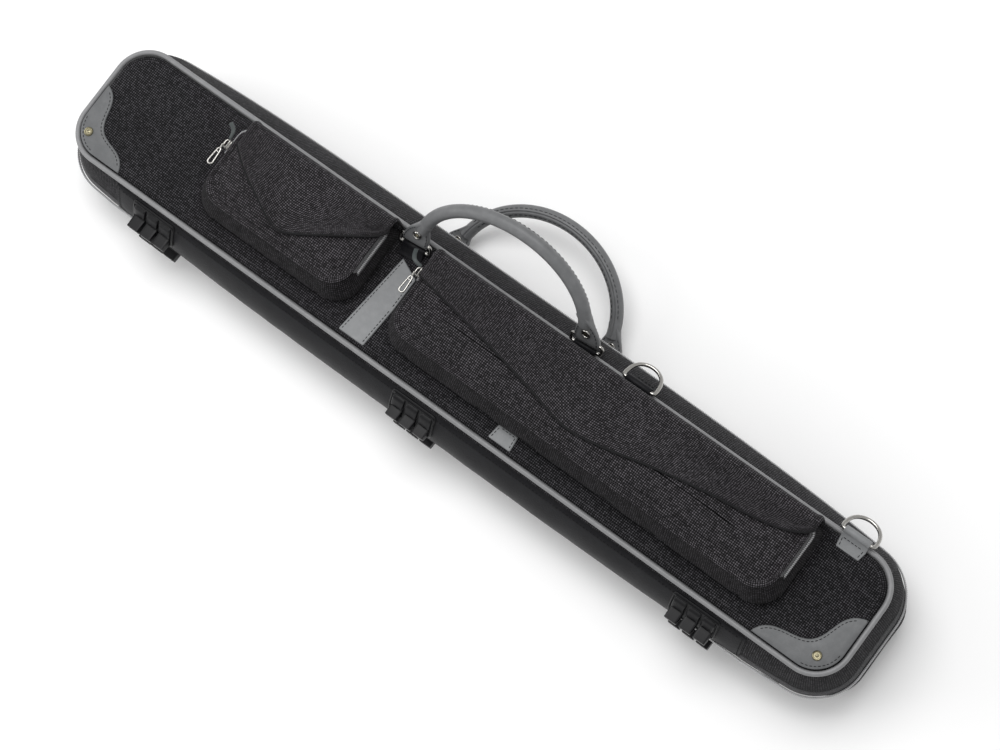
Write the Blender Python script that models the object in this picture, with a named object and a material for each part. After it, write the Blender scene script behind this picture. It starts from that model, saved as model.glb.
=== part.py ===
"""A padded two-piece cue case with two outside pockets, two carrying handles and two strap rings.

The case lies on its back panel. +X runs along its length, +Y is the handle side, -Y is the side
with the feet and the lid's fold, and +Z comes out of the front panel with the pockets. The origin
is the centre of the back panel's outer face. All sizes are in metres.
"""

import math

import bmesh
import bpy
from mathutils import Matrix, Vector

# The case: the line of the piping, the depth and how far the padded walls bulge past that line.
HALF_LENGTH = 0.405
HALF_HEIGHT = 0.0555
CORNER_RADIUS = 0.031
DEPTH = 0.096
END_FULLNESS = 0.009
LONG_FULLNESS_ENDS = 0.012
LONG_FULLNESS_MIDDLE = 0.020
REAR_END_BULGE = 0.008
REAR_BULGE_DEPTH = 0.042
WALL_THICKNESS = 0.005
GAP = 0.0003

# The panel's edge is bevelled to take the piping, and the wall starts at the bevel's foot.
PANEL_INSET = -0.0056
WALL_START_INSET = -0.0014
BEVEL_DEPTH = 0.006
HALF_DEPTH = DEPTH / 2 - GAP
WALL_LEVELS = (0.014, 0.023, 0.033)
ZIP_REBATE = 0.0026
ZIP_BAND = 0.0044
FRONT_PIPING_DEPTH = 0.0018
REAR_PIPING_DEPTH = 0.0030
FRONT_PIPING_RADIUS = 0.0027
REAR_PIPING_RADIUS = 0.00245

# The fold panel on the foot side, and the feet on it.
FOLD_PANEL_ENDS = (-0.344, 0.330)
FOLD_PANEL_START = 0.0125
FOLD_PANEL_THICKNESS = 0.0012
FOLD_PANEL_GAP = 0.0007
FOOT_CENTRES = {"left": -0.300, "middle": -0.010, "right": 0.283}
FOOT_LENGTH = 0.046
FOOT_START = 0.0125
FOOT_END = 0.0365
FOOT_COLUMNS = 3
FOOT_ROWS = 2
FOOT_BASE_RISE = 0.0022
FOOT_PAD_RISE = 0.0042
FOOT_REST_Y = -0.0826

# Inside: the foam tray that holds the cue's two halves, and the lid's pad.
TRAY_TOP = 0.042
CHANNELS = {"butt": (0.0215, 0.019), "shaft": (-0.0225, 0.016)}
CHANNEL_HALF_LENGTH = 0.388
CHANNEL_FLOOR = 0.011
LID_PAD_BOTTOM = 0.080

# Leather on the front panel: flat pieces that stand on it, with domed rivets on the corners.
LEATHER_TOP = DEPTH + 0.0016
PATCH_INSET = 0.0065
PATCH_ENDS = (0.3365, 0.0055)
PATCH_WAVE = 0.0105
PATCH_RIVETS = {"left": (-0.3895, -0.0375), "right": (0.3845, -0.0375)}
BAND_OUTLINE = (
    (-0.0905, 0.0310), (-0.0990, -0.0490), (-0.0725, -0.0490), (-0.0698, -0.0100), (-0.0698, 0.0220),
)
TAB_OUTLINE = ((0.0610, -0.0493), (0.0838, -0.0493), (0.0825, -0.0353), (0.0628, -0.0353))
RIVET_RADIUS = 0.0042
RIVET_RISE = 0.0016

# Pockets: x from and to, y from and to at the seam on the panel, and how far they stand out.
PANEL_GAP = 0.0003
SMALL_POCKET = {"x": (-0.2700, -0.1045), "y": (-0.0345, 0.0495), "height": 0.032}
LARGE_POCKET = {"x": (-0.0640, 0.3325), "y": (-0.0345, 0.0495), "height": 0.036}
POCKET_WALL = 0.002
POCKET_RADIUS = 0.024
POCKET_FOOT_SHARE = 1.45
POCKET_ZIP_LEVEL = 0.73
POCKET_ZIP_SPREAD = 0.12
POCKET_ZIP_THICKNESS = 0.0012
MOUTH_HALF_WIDTH = 0.0026
MOUTH_END_MARGIN = 0.026

# Flaps: sewn along the top edge of the panel, lying over the pocket.
FLAP_HINGE = (0.0512, 0.0985)
FLAP_CREASE_Y = 0.0450
FLAP_THICKNESS = 0.0020
SMALL_FLAP_EDGE = (
    (-0.2600, 0.0260), (-0.2400, 0.0115), (-0.2150, -0.0015), (-0.1960, -0.0110),
    (-0.1830, -0.0135), (-0.1650, -0.0060), (-0.1400, 0.0105), (-0.1180, 0.0250),
    (-0.1080, 0.0340), (-0.1045, 0.0400),
)
LARGE_FLAP_EDGE = (
    (-0.0600, 0.0245), (-0.0200, 0.0175), (0.0300, 0.0090), (0.0750, 0.0000),
    (0.1050, -0.0070), (0.1250, -0.0085), (0.1550, -0.0035), (0.1950, 0.0060),
    (0.2400, 0.0145), (0.2850, 0.0210), (0.3100, 0.0270), (0.3240, 0.0350),
    (0.3290, 0.0405),
)

# Handles: a rolled grip with a flat tab at each end, held on rectangular rings.
HANDLE_HALF_SPAN = 0.0855
FRONT_HANDLE_PIVOT = (-0.0020, 0.0510, 0.1008)
REAR_HANDLE_PIVOT = (-0.0025, 0.0640, 0.0078)
FRONT_HANDLE_TILT = 59.0
REAR_HANDLE_TILT = 24.0
FRONT_HANDLE_SKEW = 4.6
REAR_HANDLE_SKEW = 0.0
GRIP_RADIUS = 0.006
GRIP_START = 0.014
GRIP_RISE = 0.072
RING_WIRE = 0.0015
RING_WIDTH = 0.030
RING_REACH = 0.009
HANDLE_LOOP_WIDTH = 0.0215
SKEW_LIFT = 0.0009
TAB_WIDTH = 0.0245
HANDLE_RIVET = (0.0838, 0.0185, 0.0033)

# Strap rings.
STRAP_RING_WIDTH = 0.031
STRAP_RING_REACH = 0.022
STRAP_RING_WIRE = 0.0017
STRAP_LOOP_WIDTH = 0.0245
MIDDLE_STRAP_RING = (0.1380, 0.0575, 0.1008, -28.0)
END_STRAP_RING = (0.3560, 0.0585, 0.1010, -35.0)

# Joints and zip pulls.
LID_AXIS_Y = -0.0775
POCKET_PULL_LENGTH = 0.018
MAIN_PULL_LENGTH = 0.022
PULL_RIM = 0.0016
PULL_THICKNESS = 0.0014
POCKET_SLIDER_SIZE = (0.0062, 0.0095, 0.0038)
MAIN_SLIDER_SIZE = (0.0040, 0.0100, 0.0090)

COLOURS = {
    "woven_fabric": ((0.028, 0.027, 0.030), 0.85, 0.0),
    "pocket_fabric": ((0.042, 0.039, 0.043), 0.85, 0.0),
    "smooth_panel": ((0.040, 0.040, 0.042), 0.60, 0.0),
    "piping": ((0.300, 0.300, 0.310), 0.50, 0.0),
    "grey_leather": ((0.200, 0.205, 0.210), 0.50, 0.0),
    "handle_leather": ((0.120, 0.122, 0.126), 0.50, 0.0),
    "lining": ((0.020, 0.020, 0.022), 0.95, 0.0),
    "zip": ((0.350, 0.350, 0.360), 0.50, 0.0),
    "nickel": ((0.750, 0.740, 0.700), 0.20, 1.0),
    "foot_plastic": ((0.025, 0.025, 0.027), 0.35, 0.0),
}


def material(slot):
    made = bpy.data.materials.get(slot)
    if made:
        return made
    colour, roughness, metallic = COLOURS[slot]
    made = bpy.data.materials.new(slot)
    made.use_nodes = True
    shader = made.node_tree.nodes["Principled BSDF"]
    shader.inputs["Base Color"].default_value = (*colour, 1.0)
    shader.inputs["Roughness"].default_value = roughness
    shader.inputs["Metallic"].default_value = metallic
    return made


def skin(name, rows, slot, wrap_rows=False, wrap_columns=True):
    """A closed surface through a grid of points: rows of the same length, capped unless they wrap."""
    mesh = bmesh.new()
    grid = [[mesh.verts.new(point) for point in row] for row in rows]
    columns = len(grid[0])
    for i in range(len(grid) - (0 if wrap_rows else 1)):
        here, there = grid[i], grid[(i + 1) % len(grid)]
        for j in range(columns - (0 if wrap_columns else 1)):
            k = (j + 1) % columns
            mesh.faces.new((here[j], here[k], there[k], there[j]))
    if not wrap_rows:
        mesh.faces.new(grid[0])
        mesh.faces.new(grid[-1])
    bmesh.ops.recalc_face_normals(mesh, faces=mesh.faces)
    return finish_mesh(name, mesh, slot)


def finish_mesh(name, mesh, slot):
    data = bpy.data.meshes.new(name)
    mesh.to_mesh(data)
    mesh.free()
    data.shade_smooth()
    data.set_sharp_from_angle(angle=math.radians(35))
    obj = bpy.data.objects.new(name, data)
    bpy.context.scene.collection.objects.link(obj)
    data.materials.append(material(slot))
    return obj


def cutter(name, obj_mesh):
    obj = finish_mesh(name, obj_mesh, "lining")
    obj.hide_render = True
    obj.display_type = "WIRE"
    return obj


def combine(obj, other, operation):
    modifier = obj.modifiers.new(operation.lower(), "BOOLEAN")
    modifier.operation = operation
    modifier.solver = "EXACT"
    modifier.object = other


def rod(start, end, radius, sides=12):
    """A bmesh of a capped cylinder from start to end."""
    start, end = Vector(start), Vector(end)
    mesh = bmesh.new()
    along = end - start
    place = Matrix.Translation((start + end) / 2) @ along.to_track_quat("Z", "Y").to_matrix().to_4x4()
    bmesh.ops.create_cone(
        mesh, cap_ends=True, segments=sides, radius1=radius, radius2=radius, depth=along.length, matrix=place
    )
    return mesh


def block(low, high):
    """A bmesh of a box."""
    low, high = Vector(low), Vector(high)
    mesh = bmesh.new()
    size = high - low
    place = Matrix.Translation((low + high) / 2) @ Matrix.Diagonal((*size, 1.0))
    bmesh.ops.create_cube(mesh, size=1.0, matrix=place)
    return mesh


def tube(name, path, radius, slot, sides=8, closed=False):
    """A round tube along points that lie in one plane, skinned ring by ring."""
    points = [Vector(p) for p in path]
    count = len(points)
    normal = Vector((0, 0, 0))
    for a, b in zip(points, points[1:] + points[:1]):
        normal += a.cross(b)
    normal.normalize()
    rows = []
    for i, point in enumerate(points):
        before = points[i - 1] if (closed or i) else point
        after = points[(i + 1) % count] if (closed or i < count - 1) else point
        along = (after - before).normalized()
        side = along.cross(normal)
        turns = [2 * math.pi * k / sides for k in range(sides)]
        rows.append([point + radius * (math.cos(t) * side + math.sin(t) * normal) for t in turns])
    return skin(name, rows, slot, wrap_rows=closed)


# ---------------------------------------------------------------- the case's walls


def long_fullness(x):
    """How far the wall bulges at mid depth on the long sides."""
    reach = min(1.0, abs(x) / (HALF_LENGTH - CORNER_RADIUS))
    return LONG_FULLNESS_ENDS + (LONG_FULLNESS_MIDDLE - LONG_FULLNESS_ENDS) * (1 - reach**4)


def corner_stations(centre_x, centre_y, first_angle, full_first, full_last, steps=5):
    stations = []
    for k in range(steps + 1):
        angle = math.radians(first_angle + 90 * k / steps)
        outward = Vector((math.cos(angle), math.sin(angle)))
        base = Vector((centre_x, centre_y)) + CORNER_RADIUS * outward
        full = full_first + (full_last - full_first) * k / steps
        stations.append((base, outward, full))
    return stations


def long_stations(side, direction, steps=8):
    straight = HALF_LENGTH - CORNER_RADIUS
    stations = []
    for k in range(1, steps):
        x = direction * (-straight + 2 * straight * k / steps)
        stations.append((Vector((x, side * HALF_HEIGHT)), Vector((0.0, side)), long_fullness(x)))
    return stations


def outline():
    """Stations anticlockwise round the case: a point on the seam line, outward and the fullness."""
    x, y = HALF_LENGTH - CORNER_RADIUS, HALF_HEIGHT - CORNER_RADIUS
    full_end, full_long = END_FULLNESS, LONG_FULLNESS_ENDS
    stations = corner_stations(x, y, 0, full_end, full_long)
    stations += long_stations(1.0, -1.0)
    stations += corner_stations(-x, y, 90, full_long, full_end)
    stations += corner_stations(-x, -y, 180, full_end, full_long)
    stations += long_stations(-1.0, 1.0)
    stations += corner_stations(x, -y, 270, full_long, full_end)
    return stations


OUTLINE = outline()


def wall_offset(depth, full):
    """How far the wall is outside the seam line, at a depth below its panel."""
    if depth <= BEVEL_DEPTH:
        return PANEL_INSET + (WALL_START_INSET - PANEL_INSET) * depth / BEVEL_DEPTH
    turn = math.pi / 2 * (depth - BEVEL_DEPTH) / (DEPTH / 2 - BEVEL_DEPTH)
    return WALL_START_INSET + (full - WALL_START_INSET) * math.sin(turn)


def height(depth, front):
    return DEPTH - depth if front else depth


def rear_bulge(outward, depth):
    """How much further out the rear half's ends bulge than the front half's."""
    if not BEVEL_DEPTH < depth < REAR_BULGE_DEPTH:
        return 0.0
    part = (depth - BEVEL_DEPTH) / (REAR_BULGE_DEPTH - BEVEL_DEPTH)
    return REAR_END_BULGE * outward.x**2 * math.sin(math.pi * part)


def wall_point(station, depth, extra, front):
    base, outward, full = station
    bulge = 0.0 if front else rear_bulge(outward, depth)
    place = base + outward * (wall_offset(depth, full) + bulge + extra)
    return Vector((place.x, place.y, height(depth, front)))


def ring(depth, extra, front):
    return [wall_point(station, depth, extra, front) for station in OUTLINE]


def make_shell(name, front):
    """Half of the case: panel and padded wall, open at mid depth, with a rebate for the zip."""
    rebate_start = HALF_DEPTH - ZIP_BAND
    outer = [(0.0, 0.0), (BEVEL_DEPTH, 0.0)] + [(level, 0.0) for level in WALL_LEVELS]
    outer += [(rebate_start, 0.0), (rebate_start, -ZIP_REBATE), (HALF_DEPTH, -ZIP_REBATE)]
    inner = [(HALF_DEPTH, -ZIP_REBATE - 0.003), (0.033, -WALL_THICKNESS), (0.020, -WALL_THICKNESS)]
    inner += [(0.010, -WALL_THICKNESS), (0.0045, -WALL_THICKNESS)]
    rows = [ring(depth, extra, front) for depth, extra in outer + inner]
    return skin(name, rows, "woven_fabric")


def make_piping(name, front):
    depth = FRONT_PIPING_DEPTH if front else REAR_PIPING_DEPTH
    radius = FRONT_PIPING_RADIUS if front else REAR_PIPING_RADIUS
    path = [Vector((base.x, base.y, height(depth, front))) for base, _, _ in OUTLINE]
    return tube(name, path, radius, "piping", sides=6, closed=True)


def fold_station(x):
    return Vector((x, -HALF_HEIGHT)), Vector((0.0, -1.0)), long_fullness(x)


def make_zip_row(name, front):
    """One row of the main zip, round the three sides that open."""
    left, right = FOLD_PANEL_ENDS
    start = [fold_station(right + 0.002)]
    end = [fold_station(left - 0.002)]
    first_fold = next(i for i, s in enumerate(OUTLINE) if s[0].y < -HALF_HEIGHT + 1e-6)
    last_fold = max(i for i, s in enumerate(OUTLINE) if s[0].y < -HALF_HEIGHT + 1e-6)
    stations = start + OUTLINE[last_fold:] + OUTLINE[:first_fold + 1] + end
    top = HALF_DEPTH - ZIP_BAND + GAP
    bottom = DEPTH / 2 - GAP / 2
    rows = []
    for station in stations:
        corners = ((top, -ZIP_REBATE + GAP), (top, 0.0), (bottom, 0.0), (bottom, -ZIP_REBATE + GAP))
        rows.append([wall_point(station, depth, extra, front) for depth, extra in corners])
    return skin(name, rows, "zip")


def fold_sheet(name, xs, depths, inner, outer, front, slot):
    """A curved sheet on the foot side: outer(i, j) is its outer offset, inner is constant."""
    rows = []
    for i, x in enumerate(xs):
        station = fold_station(x)
        face = [wall_point(station, depth, outer(i, j), front) for j, depth in enumerate(depths)]
        back = [wall_point(station, depth, inner, front) for depth in reversed(depths)]
        rows.append(face + back)
    return skin(name, rows, slot)


def make_fold_panel(name, front):
    left, right = FOLD_PANEL_ENDS
    inner_xs = [base.x for base, _, _ in long_stations(-1.0, 1.0)]
    xs = [left] + [x for x in inner_xs if left < x < right] + [right]
    depths = [FOLD_PANEL_START, *WALL_LEVELS, HALF_DEPTH - ZIP_BAND, DEPTH / 2 - GAP / 2]
    outer = FOLD_PANEL_GAP + FOLD_PANEL_THICKNESS
    return fold_sheet(name, xs, depths, FOLD_PANEL_GAP, lambda i, j: outer, front, "smooth_panel")


def raised_lines(start, end, count, rim, slope):
    """Grid lines across a foot, and whether each is on top of a pad: a rim, then pads and grooves."""
    pitch = (end - start - 2 * rim) / count
    lines = [(start, False), (start + rim, False)]
    for k in range(count):
        low = start + rim + pitch * k
        lines += [(low + slope, True), (low + pitch - slope, True)]
        if k < count - 1:
            lines.append((low + pitch, False))
    return lines + [(end - rim, False), (end, False)]


def make_foot(name, centre, front):
    """A moulded foot: a base with a grid of raised pads, bent round the wall."""
    columns = raised_lines(centre - FOOT_LENGTH / 2, centre + FOOT_LENGTH / 2, FOOT_COLUMNS, 0.003, 0.0016)
    rows = raised_lines(FOOT_START, FOOT_END, FOOT_ROWS, 0.002, 0.0014)
    base = FOLD_PANEL_GAP + FOLD_PANEL_THICKNESS + 0.0006
    points = []
    for x, column_up in columns:
        station = fold_station(x)
        face = []
        for depth, row_up in rows:
            extra = base + (FOOT_PAD_RISE if column_up and row_up else FOOT_BASE_RISE)
            point = wall_point(station, depth, extra, front)
            if column_up and row_up and depth > (FOOT_START + FOOT_END) / 2:
                point.y = FOOT_REST_Y
            face.append(point)
        back = [wall_point(station, depth, base, front) for depth, _ in reversed(rows)]
        points.append(face + back)
    return skin(name, points, "foot_plastic")


# ---------------------------------------------------------------- inside the case


def make_tray(name):
    """The foam tray in the rear half, with a long channel for each half of the cue."""
    depths = (0.0052, 0.010, 0.020, 0.033, TRAY_TOP)
    rows = [ring(depth, -WALL_THICKNESS - 0.0012, False) for depth in depths]
    tray = skin(name, rows, "lining")
    for label, (middle, half_width) in CHANNELS.items():
        low = (-CHANNEL_HALF_LENGTH + half_width, middle - half_width, CHANNEL_FLOOR)
        high = (CHANNEL_HALF_LENGTH - half_width, middle + half_width, TRAY_TOP + 0.01)
        mesh = block(low, high)
        edges = [e for e in mesh.edges if abs(e.verts[0].co.z - e.verts[1].co.z) < 1e-6]
        floor = [e for e in edges if e.verts[0].co.z < CHANNEL_FLOOR + 1e-6]
        long_floor = [e for e in floor if abs(e.verts[0].co.x - e.verts[1].co.x) > 0.1]
        bmesh.ops.bevel(mesh, geom=long_floor, offset=half_width * 0.6, segments=3, affect="EDGES")
        combine(tray, cutter(label + "_channel_cutter", mesh), "DIFFERENCE")
    return tray


def make_lid_pad(name):
    depths = (0.0052, 0.010, DEPTH - LID_PAD_BOTTOM)
    rows = [ring(depth, -WALL_THICKNESS - 0.0012, True) for depth in depths]
    return skin(name, rows, "lining")


# ---------------------------------------------------------------- leather on the front panel


def plate(name, outline_xy, low, high, slot):
    """A flat piece with an outline in X and Y, between two heights."""
    rows = [[Vector((x, y, z)) for x, y in outline_xy] for z in (low, high)]
    return skin(name, rows, slot)


def corner_patch(name, side):
    """A leather corner on the foot side: it follows the corner and has a wavy inner edge."""
    centre_x = side * (HALF_LENGTH - CORNER_RADIUS)
    centre_y = -HALF_HEIGHT + CORNER_RADIUS
    radius = CORNER_RADIUS - PATCH_INSET
    wave_start = Vector((side * PATCH_ENDS[0], -HALF_HEIGHT + PATCH_INSET))
    wave_end = Vector((side * (HALF_LENGTH - PATCH_INSET), PATCH_ENDS[1]))
    inward = Vector((-side, 1.0)).normalized()
    points = [tuple(wave_end)]
    for k in range(7):
        angle = math.radians(90 * k / 6)
        points.append((centre_x + side * radius * math.cos(angle), centre_y - radius * math.sin(angle)))
    points.append(tuple(wave_start))
    for k in range(1, 10):
        part = k / 10
        ends_fade = math.sin(math.pi * part) ** 0.8
        bow = -PATCH_WAVE * ends_fade * math.cos(2 * math.pi * (part - 0.5))
        points.append(tuple(wave_start.lerp(wave_end, part) + inward * bow))
    return plate(name, points, DEPTH + PANEL_GAP, LEATHER_TOP, "grey_leather")


def circle(x, y, z, radius, sides):
    turns = [2 * math.pi * k / sides for k in range(sides)]
    return [Vector((x + radius * math.cos(t), y + radius * math.sin(t), z)) for t in turns]


def rivet(name, x, y, z):
    """A domed rivet head standing on a face at height z."""
    dome = ((1.0, 0.0), (1.0, 0.35), (0.72, 0.8), (0.35, 1.0))
    rows = [circle(x, y, z + RIVET_RISE * level, RIVET_RADIUS * part, 12) for part, level in dome]
    return skin(name, rows, "nickel")


# ---------------------------------------------------------------- pockets


def pocket_levels(pocket, shrink):
    """Rings of a pocket from the seam to the front: level, side inset and top inset."""
    rise = pocket["height"]
    return [
        (PANEL_GAP, shrink, shrink),
        (0.30 * rise, 0.0005 + shrink, 0.0025 + shrink),
        (0.60 * rise, 0.0025 + shrink, 0.0060 + shrink),
        (0.86 * rise, 0.0065 + shrink, 0.0105 + shrink),
        (rise - shrink, 0.0150 + shrink, 0.0190 + shrink),
    ]


def pocket_outline(pocket, level, side_inset, top_inset, steps=4):
    """The pocket's outline at a level above the panel, inset at the sides and at the top."""
    x0, x1 = pocket["x"][0] + side_inset, pocket["x"][1] - side_inset
    y0, y1 = pocket["y"][0] + POCKET_FOOT_SHARE * side_inset, pocket["y"][1] - top_inset
    low_radius = max(0.006, POCKET_RADIUS - side_inset * 0.5)
    top_radius = max(0.004, 0.010 - side_inset * 0.3)
    corners = (
        (x1 - top_radius, y1 - top_radius, 0, top_radius),
        (x0 + top_radius, y1 - top_radius, 90, top_radius),
        (x0 + low_radius, y0 + low_radius, 180, low_radius),
        (x1 - low_radius, y0 + low_radius, 270, low_radius),
    )
    points = []
    for cx, cy, first, radius in corners:
        for k in range(steps + 1):
            angle = math.radians(first + 90 * k / steps)
            x, y = cx + radius * math.cos(angle), cy + radius * math.sin(angle)
            points.append(Vector((x, y, DEPTH + level)))
    return points


def mouth_cutter(name, pocket):
    x0, x1 = pocket["x"]
    top = pocket["y"][1]
    level = DEPTH + POCKET_ZIP_LEVEL * pocket["height"]
    low = (x0 + MOUTH_END_MARGIN, top - 0.020, level - MOUTH_HALF_WIDTH)
    high = (x1 - MOUTH_END_MARGIN, top + 0.006, level + MOUTH_HALF_WIDTH)
    return cutter(name, block(low, high))


def make_pocket(name, pocket):
    outer = [pocket_outline(pocket, *place) for place in pocket_levels(pocket, 0.0)]
    inner = [pocket_outline(pocket, *place) for place in pocket_levels(pocket, POCKET_WALL)]
    obj = skin(name, list(reversed(inner)) + outer, "pocket_fabric")
    combine(obj, mouth_cutter(name + "_mouth_cutter", pocket), "DIFFERENCE")
    return obj


def gusset_inset(pocket, level, top):
    """The pocket's inset at a level, read between its rings."""
    levels = pocket_levels(pocket, 0.0)
    for (l0, s0, t0), (l1, s1, t1) in zip(levels, levels[1:]):
        if level <= l1:
            part = (level - l0) / (l1 - l0)
            return (t0 + (t1 - t0) * part) if top else (s0 + (s1 - s0) * part)
    return levels[-1][2 if top else 1]


def make_pocket_zip(name, pocket, left_low, right_low):
    """The zip round the pocket's gusset: down the left end, along the top and down the right end."""
    rings = []
    for part in (POCKET_ZIP_LEVEL - POCKET_ZIP_SPREAD, POCKET_ZIP_LEVEL + POCKET_ZIP_SPREAD):
        level = part * pocket["height"]
        for extra in (GAP, GAP + POCKET_ZIP_THICKNESS):
            side = gusset_inset(pocket, level, False) - extra
            top = gusset_inset(pocket, level, True) - extra
            points = pocket_outline(pocket, level, side, top)
            left, right = points[9].copy(), points[0].copy()
            left.y, right.y = left_low, right_low
            rings.append([right] + points[:10] + [left])
    low_in, low_out, high_in, high_out = rings
    rows = [list(section) for section in zip(low_in, low_out, high_out, high_in)]
    obj = skin(name, rows, "zip")
    combine(obj, mouth_cutter(name + "_mouth_cutter", pocket), "DIFFERENCE")
    return obj


def flap_crease(pocket):
    """Where the flap folds over the pocket's shoulder, in Y and Z."""
    return FLAP_CREASE_Y, DEPTH + pocket["height"] + 0.0008


def thick_strip(name, xs, profiles):
    """A strip of cloth along X: for each x, its under and over points in Y and Z."""
    rows = []
    for x, (under, over) in zip(xs, profiles):
        rows.append([Vector((x, y, z)) for y, z in list(over) + list(under)[::-1]])
    return skin(name, rows, "pocket_fabric")


def make_flap_root(name, pocket, edge):
    """The part of a flap that stands up from its seam on the panel to the crease."""
    rise = pocket["height"]
    crease_y, crease_z = flap_crease(pocket)
    hinge_y, hinge_z = FLAP_HINGE
    under = [(hinge_y, hinge_z), (hinge_y - 0.0005, DEPTH + 0.50 * rise)]
    under += [(hinge_y - 0.0026, DEPTH + 0.80 * rise), (crease_y + 0.0004, crease_z - 0.0005)]
    over = [(y + FLAP_THICKNESS, z) for y, z in under]
    xs = [edge[0][0], (edge[0][0] + edge[-1][0]) / 2, edge[-1][0]]
    return thick_strip(name, xs, [(under, over)] * 3)


def make_flap(name, pocket, edge):
    """The part of a flap that lies over the pocket's front, with its shaped free edge."""
    crease_y, top = flap_crease(pocket)
    start = crease_y - GAP
    profiles = []
    for _, edge_y in edge:
        ys = (start, start + (edge_y - start) * 0.5, edge_y)
        profiles.append(([(y, top) for y in ys], [(y, top + FLAP_THICKNESS) for y in ys]))
    return thick_strip(name, [x for x, _ in edge], profiles)


# ---------------------------------------------------------------- rings, loops and handles


def rectangle_ring(name, middle_x):
    """A wire ring in the plane z = 0 of its handle: its near bar is the pivot."""
    half, reach, corner = RING_WIDTH / 2, RING_REACH, 0.0025
    corners = (
        (half - corner, reach - corner, 0),
        (-half + corner, reach - corner, 90),
        (-half + corner, corner, 180),
        (half - corner, corner, 270),
    )
    path = []
    for cx, cy, first in corners:
        for k in range(3):
            angle = math.radians(first + 45 * k)
            path.append((middle_x + cx + corner * math.cos(angle), cy + corner * math.sin(angle), 0.0))
    return tube(name, path, RING_WIRE, "nickel", sides=8, closed=True)


def strap_ring(name):
    """A D-shaped wire ring in the plane z = 0: its straight bar lies on the pivot."""
    half, reach = STRAP_RING_WIDTH / 2, STRAP_RING_REACH
    path = [(-half + 0.002, 0.0, 0.0), (0.0, 0.0, 0.0), (half - 0.002, 0.0, 0.0)]
    for k in range(13):
        angle = math.pi * k / 12
        bow = math.sin(angle) ** 0.75
        path.append((half * math.cos(angle), 0.0025 + (reach - 0.0025) * bow, 0.0))
    return tube(name, path, STRAP_RING_WIRE, "nickel", sides=8, closed=True)


def section_strip(name, widths, points, slot):
    """A strip whose cross-section in Y and Z is given, with its own half width at each point."""
    middle, half = widths
    rows = []
    for side in (-1.0, 1.0):
        rows.append([Vector((middle + side * half * scale, y, z)) for y, z, scale in points])
    return skin(name, rows, slot)


def bar_loop(name, middle_x, bar, wire, arc, tail, width, slot):
    """A strap loop: an eye round a ring's bar, drawn over arc (first angle, sweep), and a flat tail."""
    bar_y, bar_z = bar
    eye = wire + 0.0005
    outer = eye + 0.0014
    points = []
    for k in range(9):
        angle = math.radians(arc[0] + arc[1] * k / 8)
        points.append((bar_y + outer * math.cos(angle), bar_z + outer * math.sin(angle), 1.0))
    points += tail
    loop = section_strip(name, (middle_x, width / 2), points, slot)
    hole = rod((middle_x - width, bar_y, bar_z), (middle_x + width, bar_y, bar_z), eye)
    combine(loop, cutter(name + "_eye_cutter", hole), "DIFFERENCE")
    return loop


def wall_tail(x, depths, front, lift=0.0):
    """Tail points on the wall behind the piping: down its outer face and back up its inner face."""
    full = long_fullness(x)
    tail = []
    for depth, extra in [(d, 0.0018) for d in depths] + [(d, GAP) for d in reversed(depths)]:
        y = HALF_HEIGHT + wall_offset(depth, full) + extra + lift
        tail.append((y, height(depth, front), 1.0))
    return tail


def front_wall_loop(name, x, bar, wire, width, lift=0.0):
    """A loop sewn to the front half's wall, coming up past the piping."""
    tail = [(0.0604 + lift, 0.0920, 1.0)] + wall_tail(x, (0.011, 0.020), True, lift)
    tail.append((0.0587 + lift, 0.0960, 1.0))
    return bar_loop(name, x, bar, wire, (-75, -285), tail, width, "smooth_panel")


def lifted_wall_loop(name, x, bar, wire, width):
    """A front wall loop that stands off far enough to be turned with the handle's bar."""
    return front_wall_loop(name, x, bar, wire, width, SKEW_LIFT)


def rear_wall_loop(name, x, bar, wire, width):
    """A loop sewn to the rear half's wall, its eye below the wall's bulge."""
    tail = wall_tail(x, (0.022,), False) + [(bar[0] + 0.0012, bar[1] + 0.0045, 1.0)]
    return bar_loop(name, x, bar, wire, (75, 285), tail, width, "smooth_panel")


def flat_loop(name, x, bar, wire, width, length, share, slot):
    """A loop whose tail, of this length from the bar, lies on the front panel and may taper."""
    y = bar[0]
    tail = [(y - 0.0065, DEPTH + 0.0026, 1.0), (y - length, DEPTH + 0.0020, share)]
    tail += [(y - length, DEPTH + PANEL_GAP, share), (y - 0.0080, DEPTH + PANEL_GAP, 1.0)]
    tail.append((y - 0.0053, DEPTH + 0.0014, 1.0))
    return bar_loop(name, x, bar, wire, (-100, 250), tail, width, slot)


def strap_panel_loop(name, x, bar, wire, width):
    """The end strap ring's loop, sewn to the front panel inside the piping."""
    return flat_loop(name, x, bar, wire, width, 0.0155, 0.88, "grey_leather")


def handle_panel_loop(name, x, bar, wire, width):
    """A short loop on the front panel between the pockets."""
    return flat_loop(name, x, bar, wire, width, 0.0110, 1.0, "smooth_panel")


def grip_path():
    path = []
    for k in range(19):
        angle = math.radians(9 + 162 * k / 18)
        along = -(HANDLE_HALF_SPAN - 0.0045) * math.cos(angle)
        path.append((along, GRIP_START + GRIP_RISE * math.sin(angle), 0.0))
    return path


def handle_tab(side):
    """The flat end of a handle: for each reach, the middle's x, the width's share and half thickness."""
    sections = (
        (0.0060, 0.0855, 1.0, 0.0030),
        (0.0120, 0.0850, 1.0, 0.0030),
        (0.0200, 0.0835, 0.86, 0.0024),
        (0.0265, 0.0815, 0.62, 0.0028),
        (0.0330, 0.0780, 0.40, 0.0044),
    )
    rows = []
    for reach, middle, width, thick in sections:
        half = TAB_WIDTH / 2 * width
        x = side * middle
        corners = ((-half, -thick), (half, -thick), (half, thick), (-half, thick))
        rows.append([Vector((x + a, reach, b)) for a, b in corners])
    return rows


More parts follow.
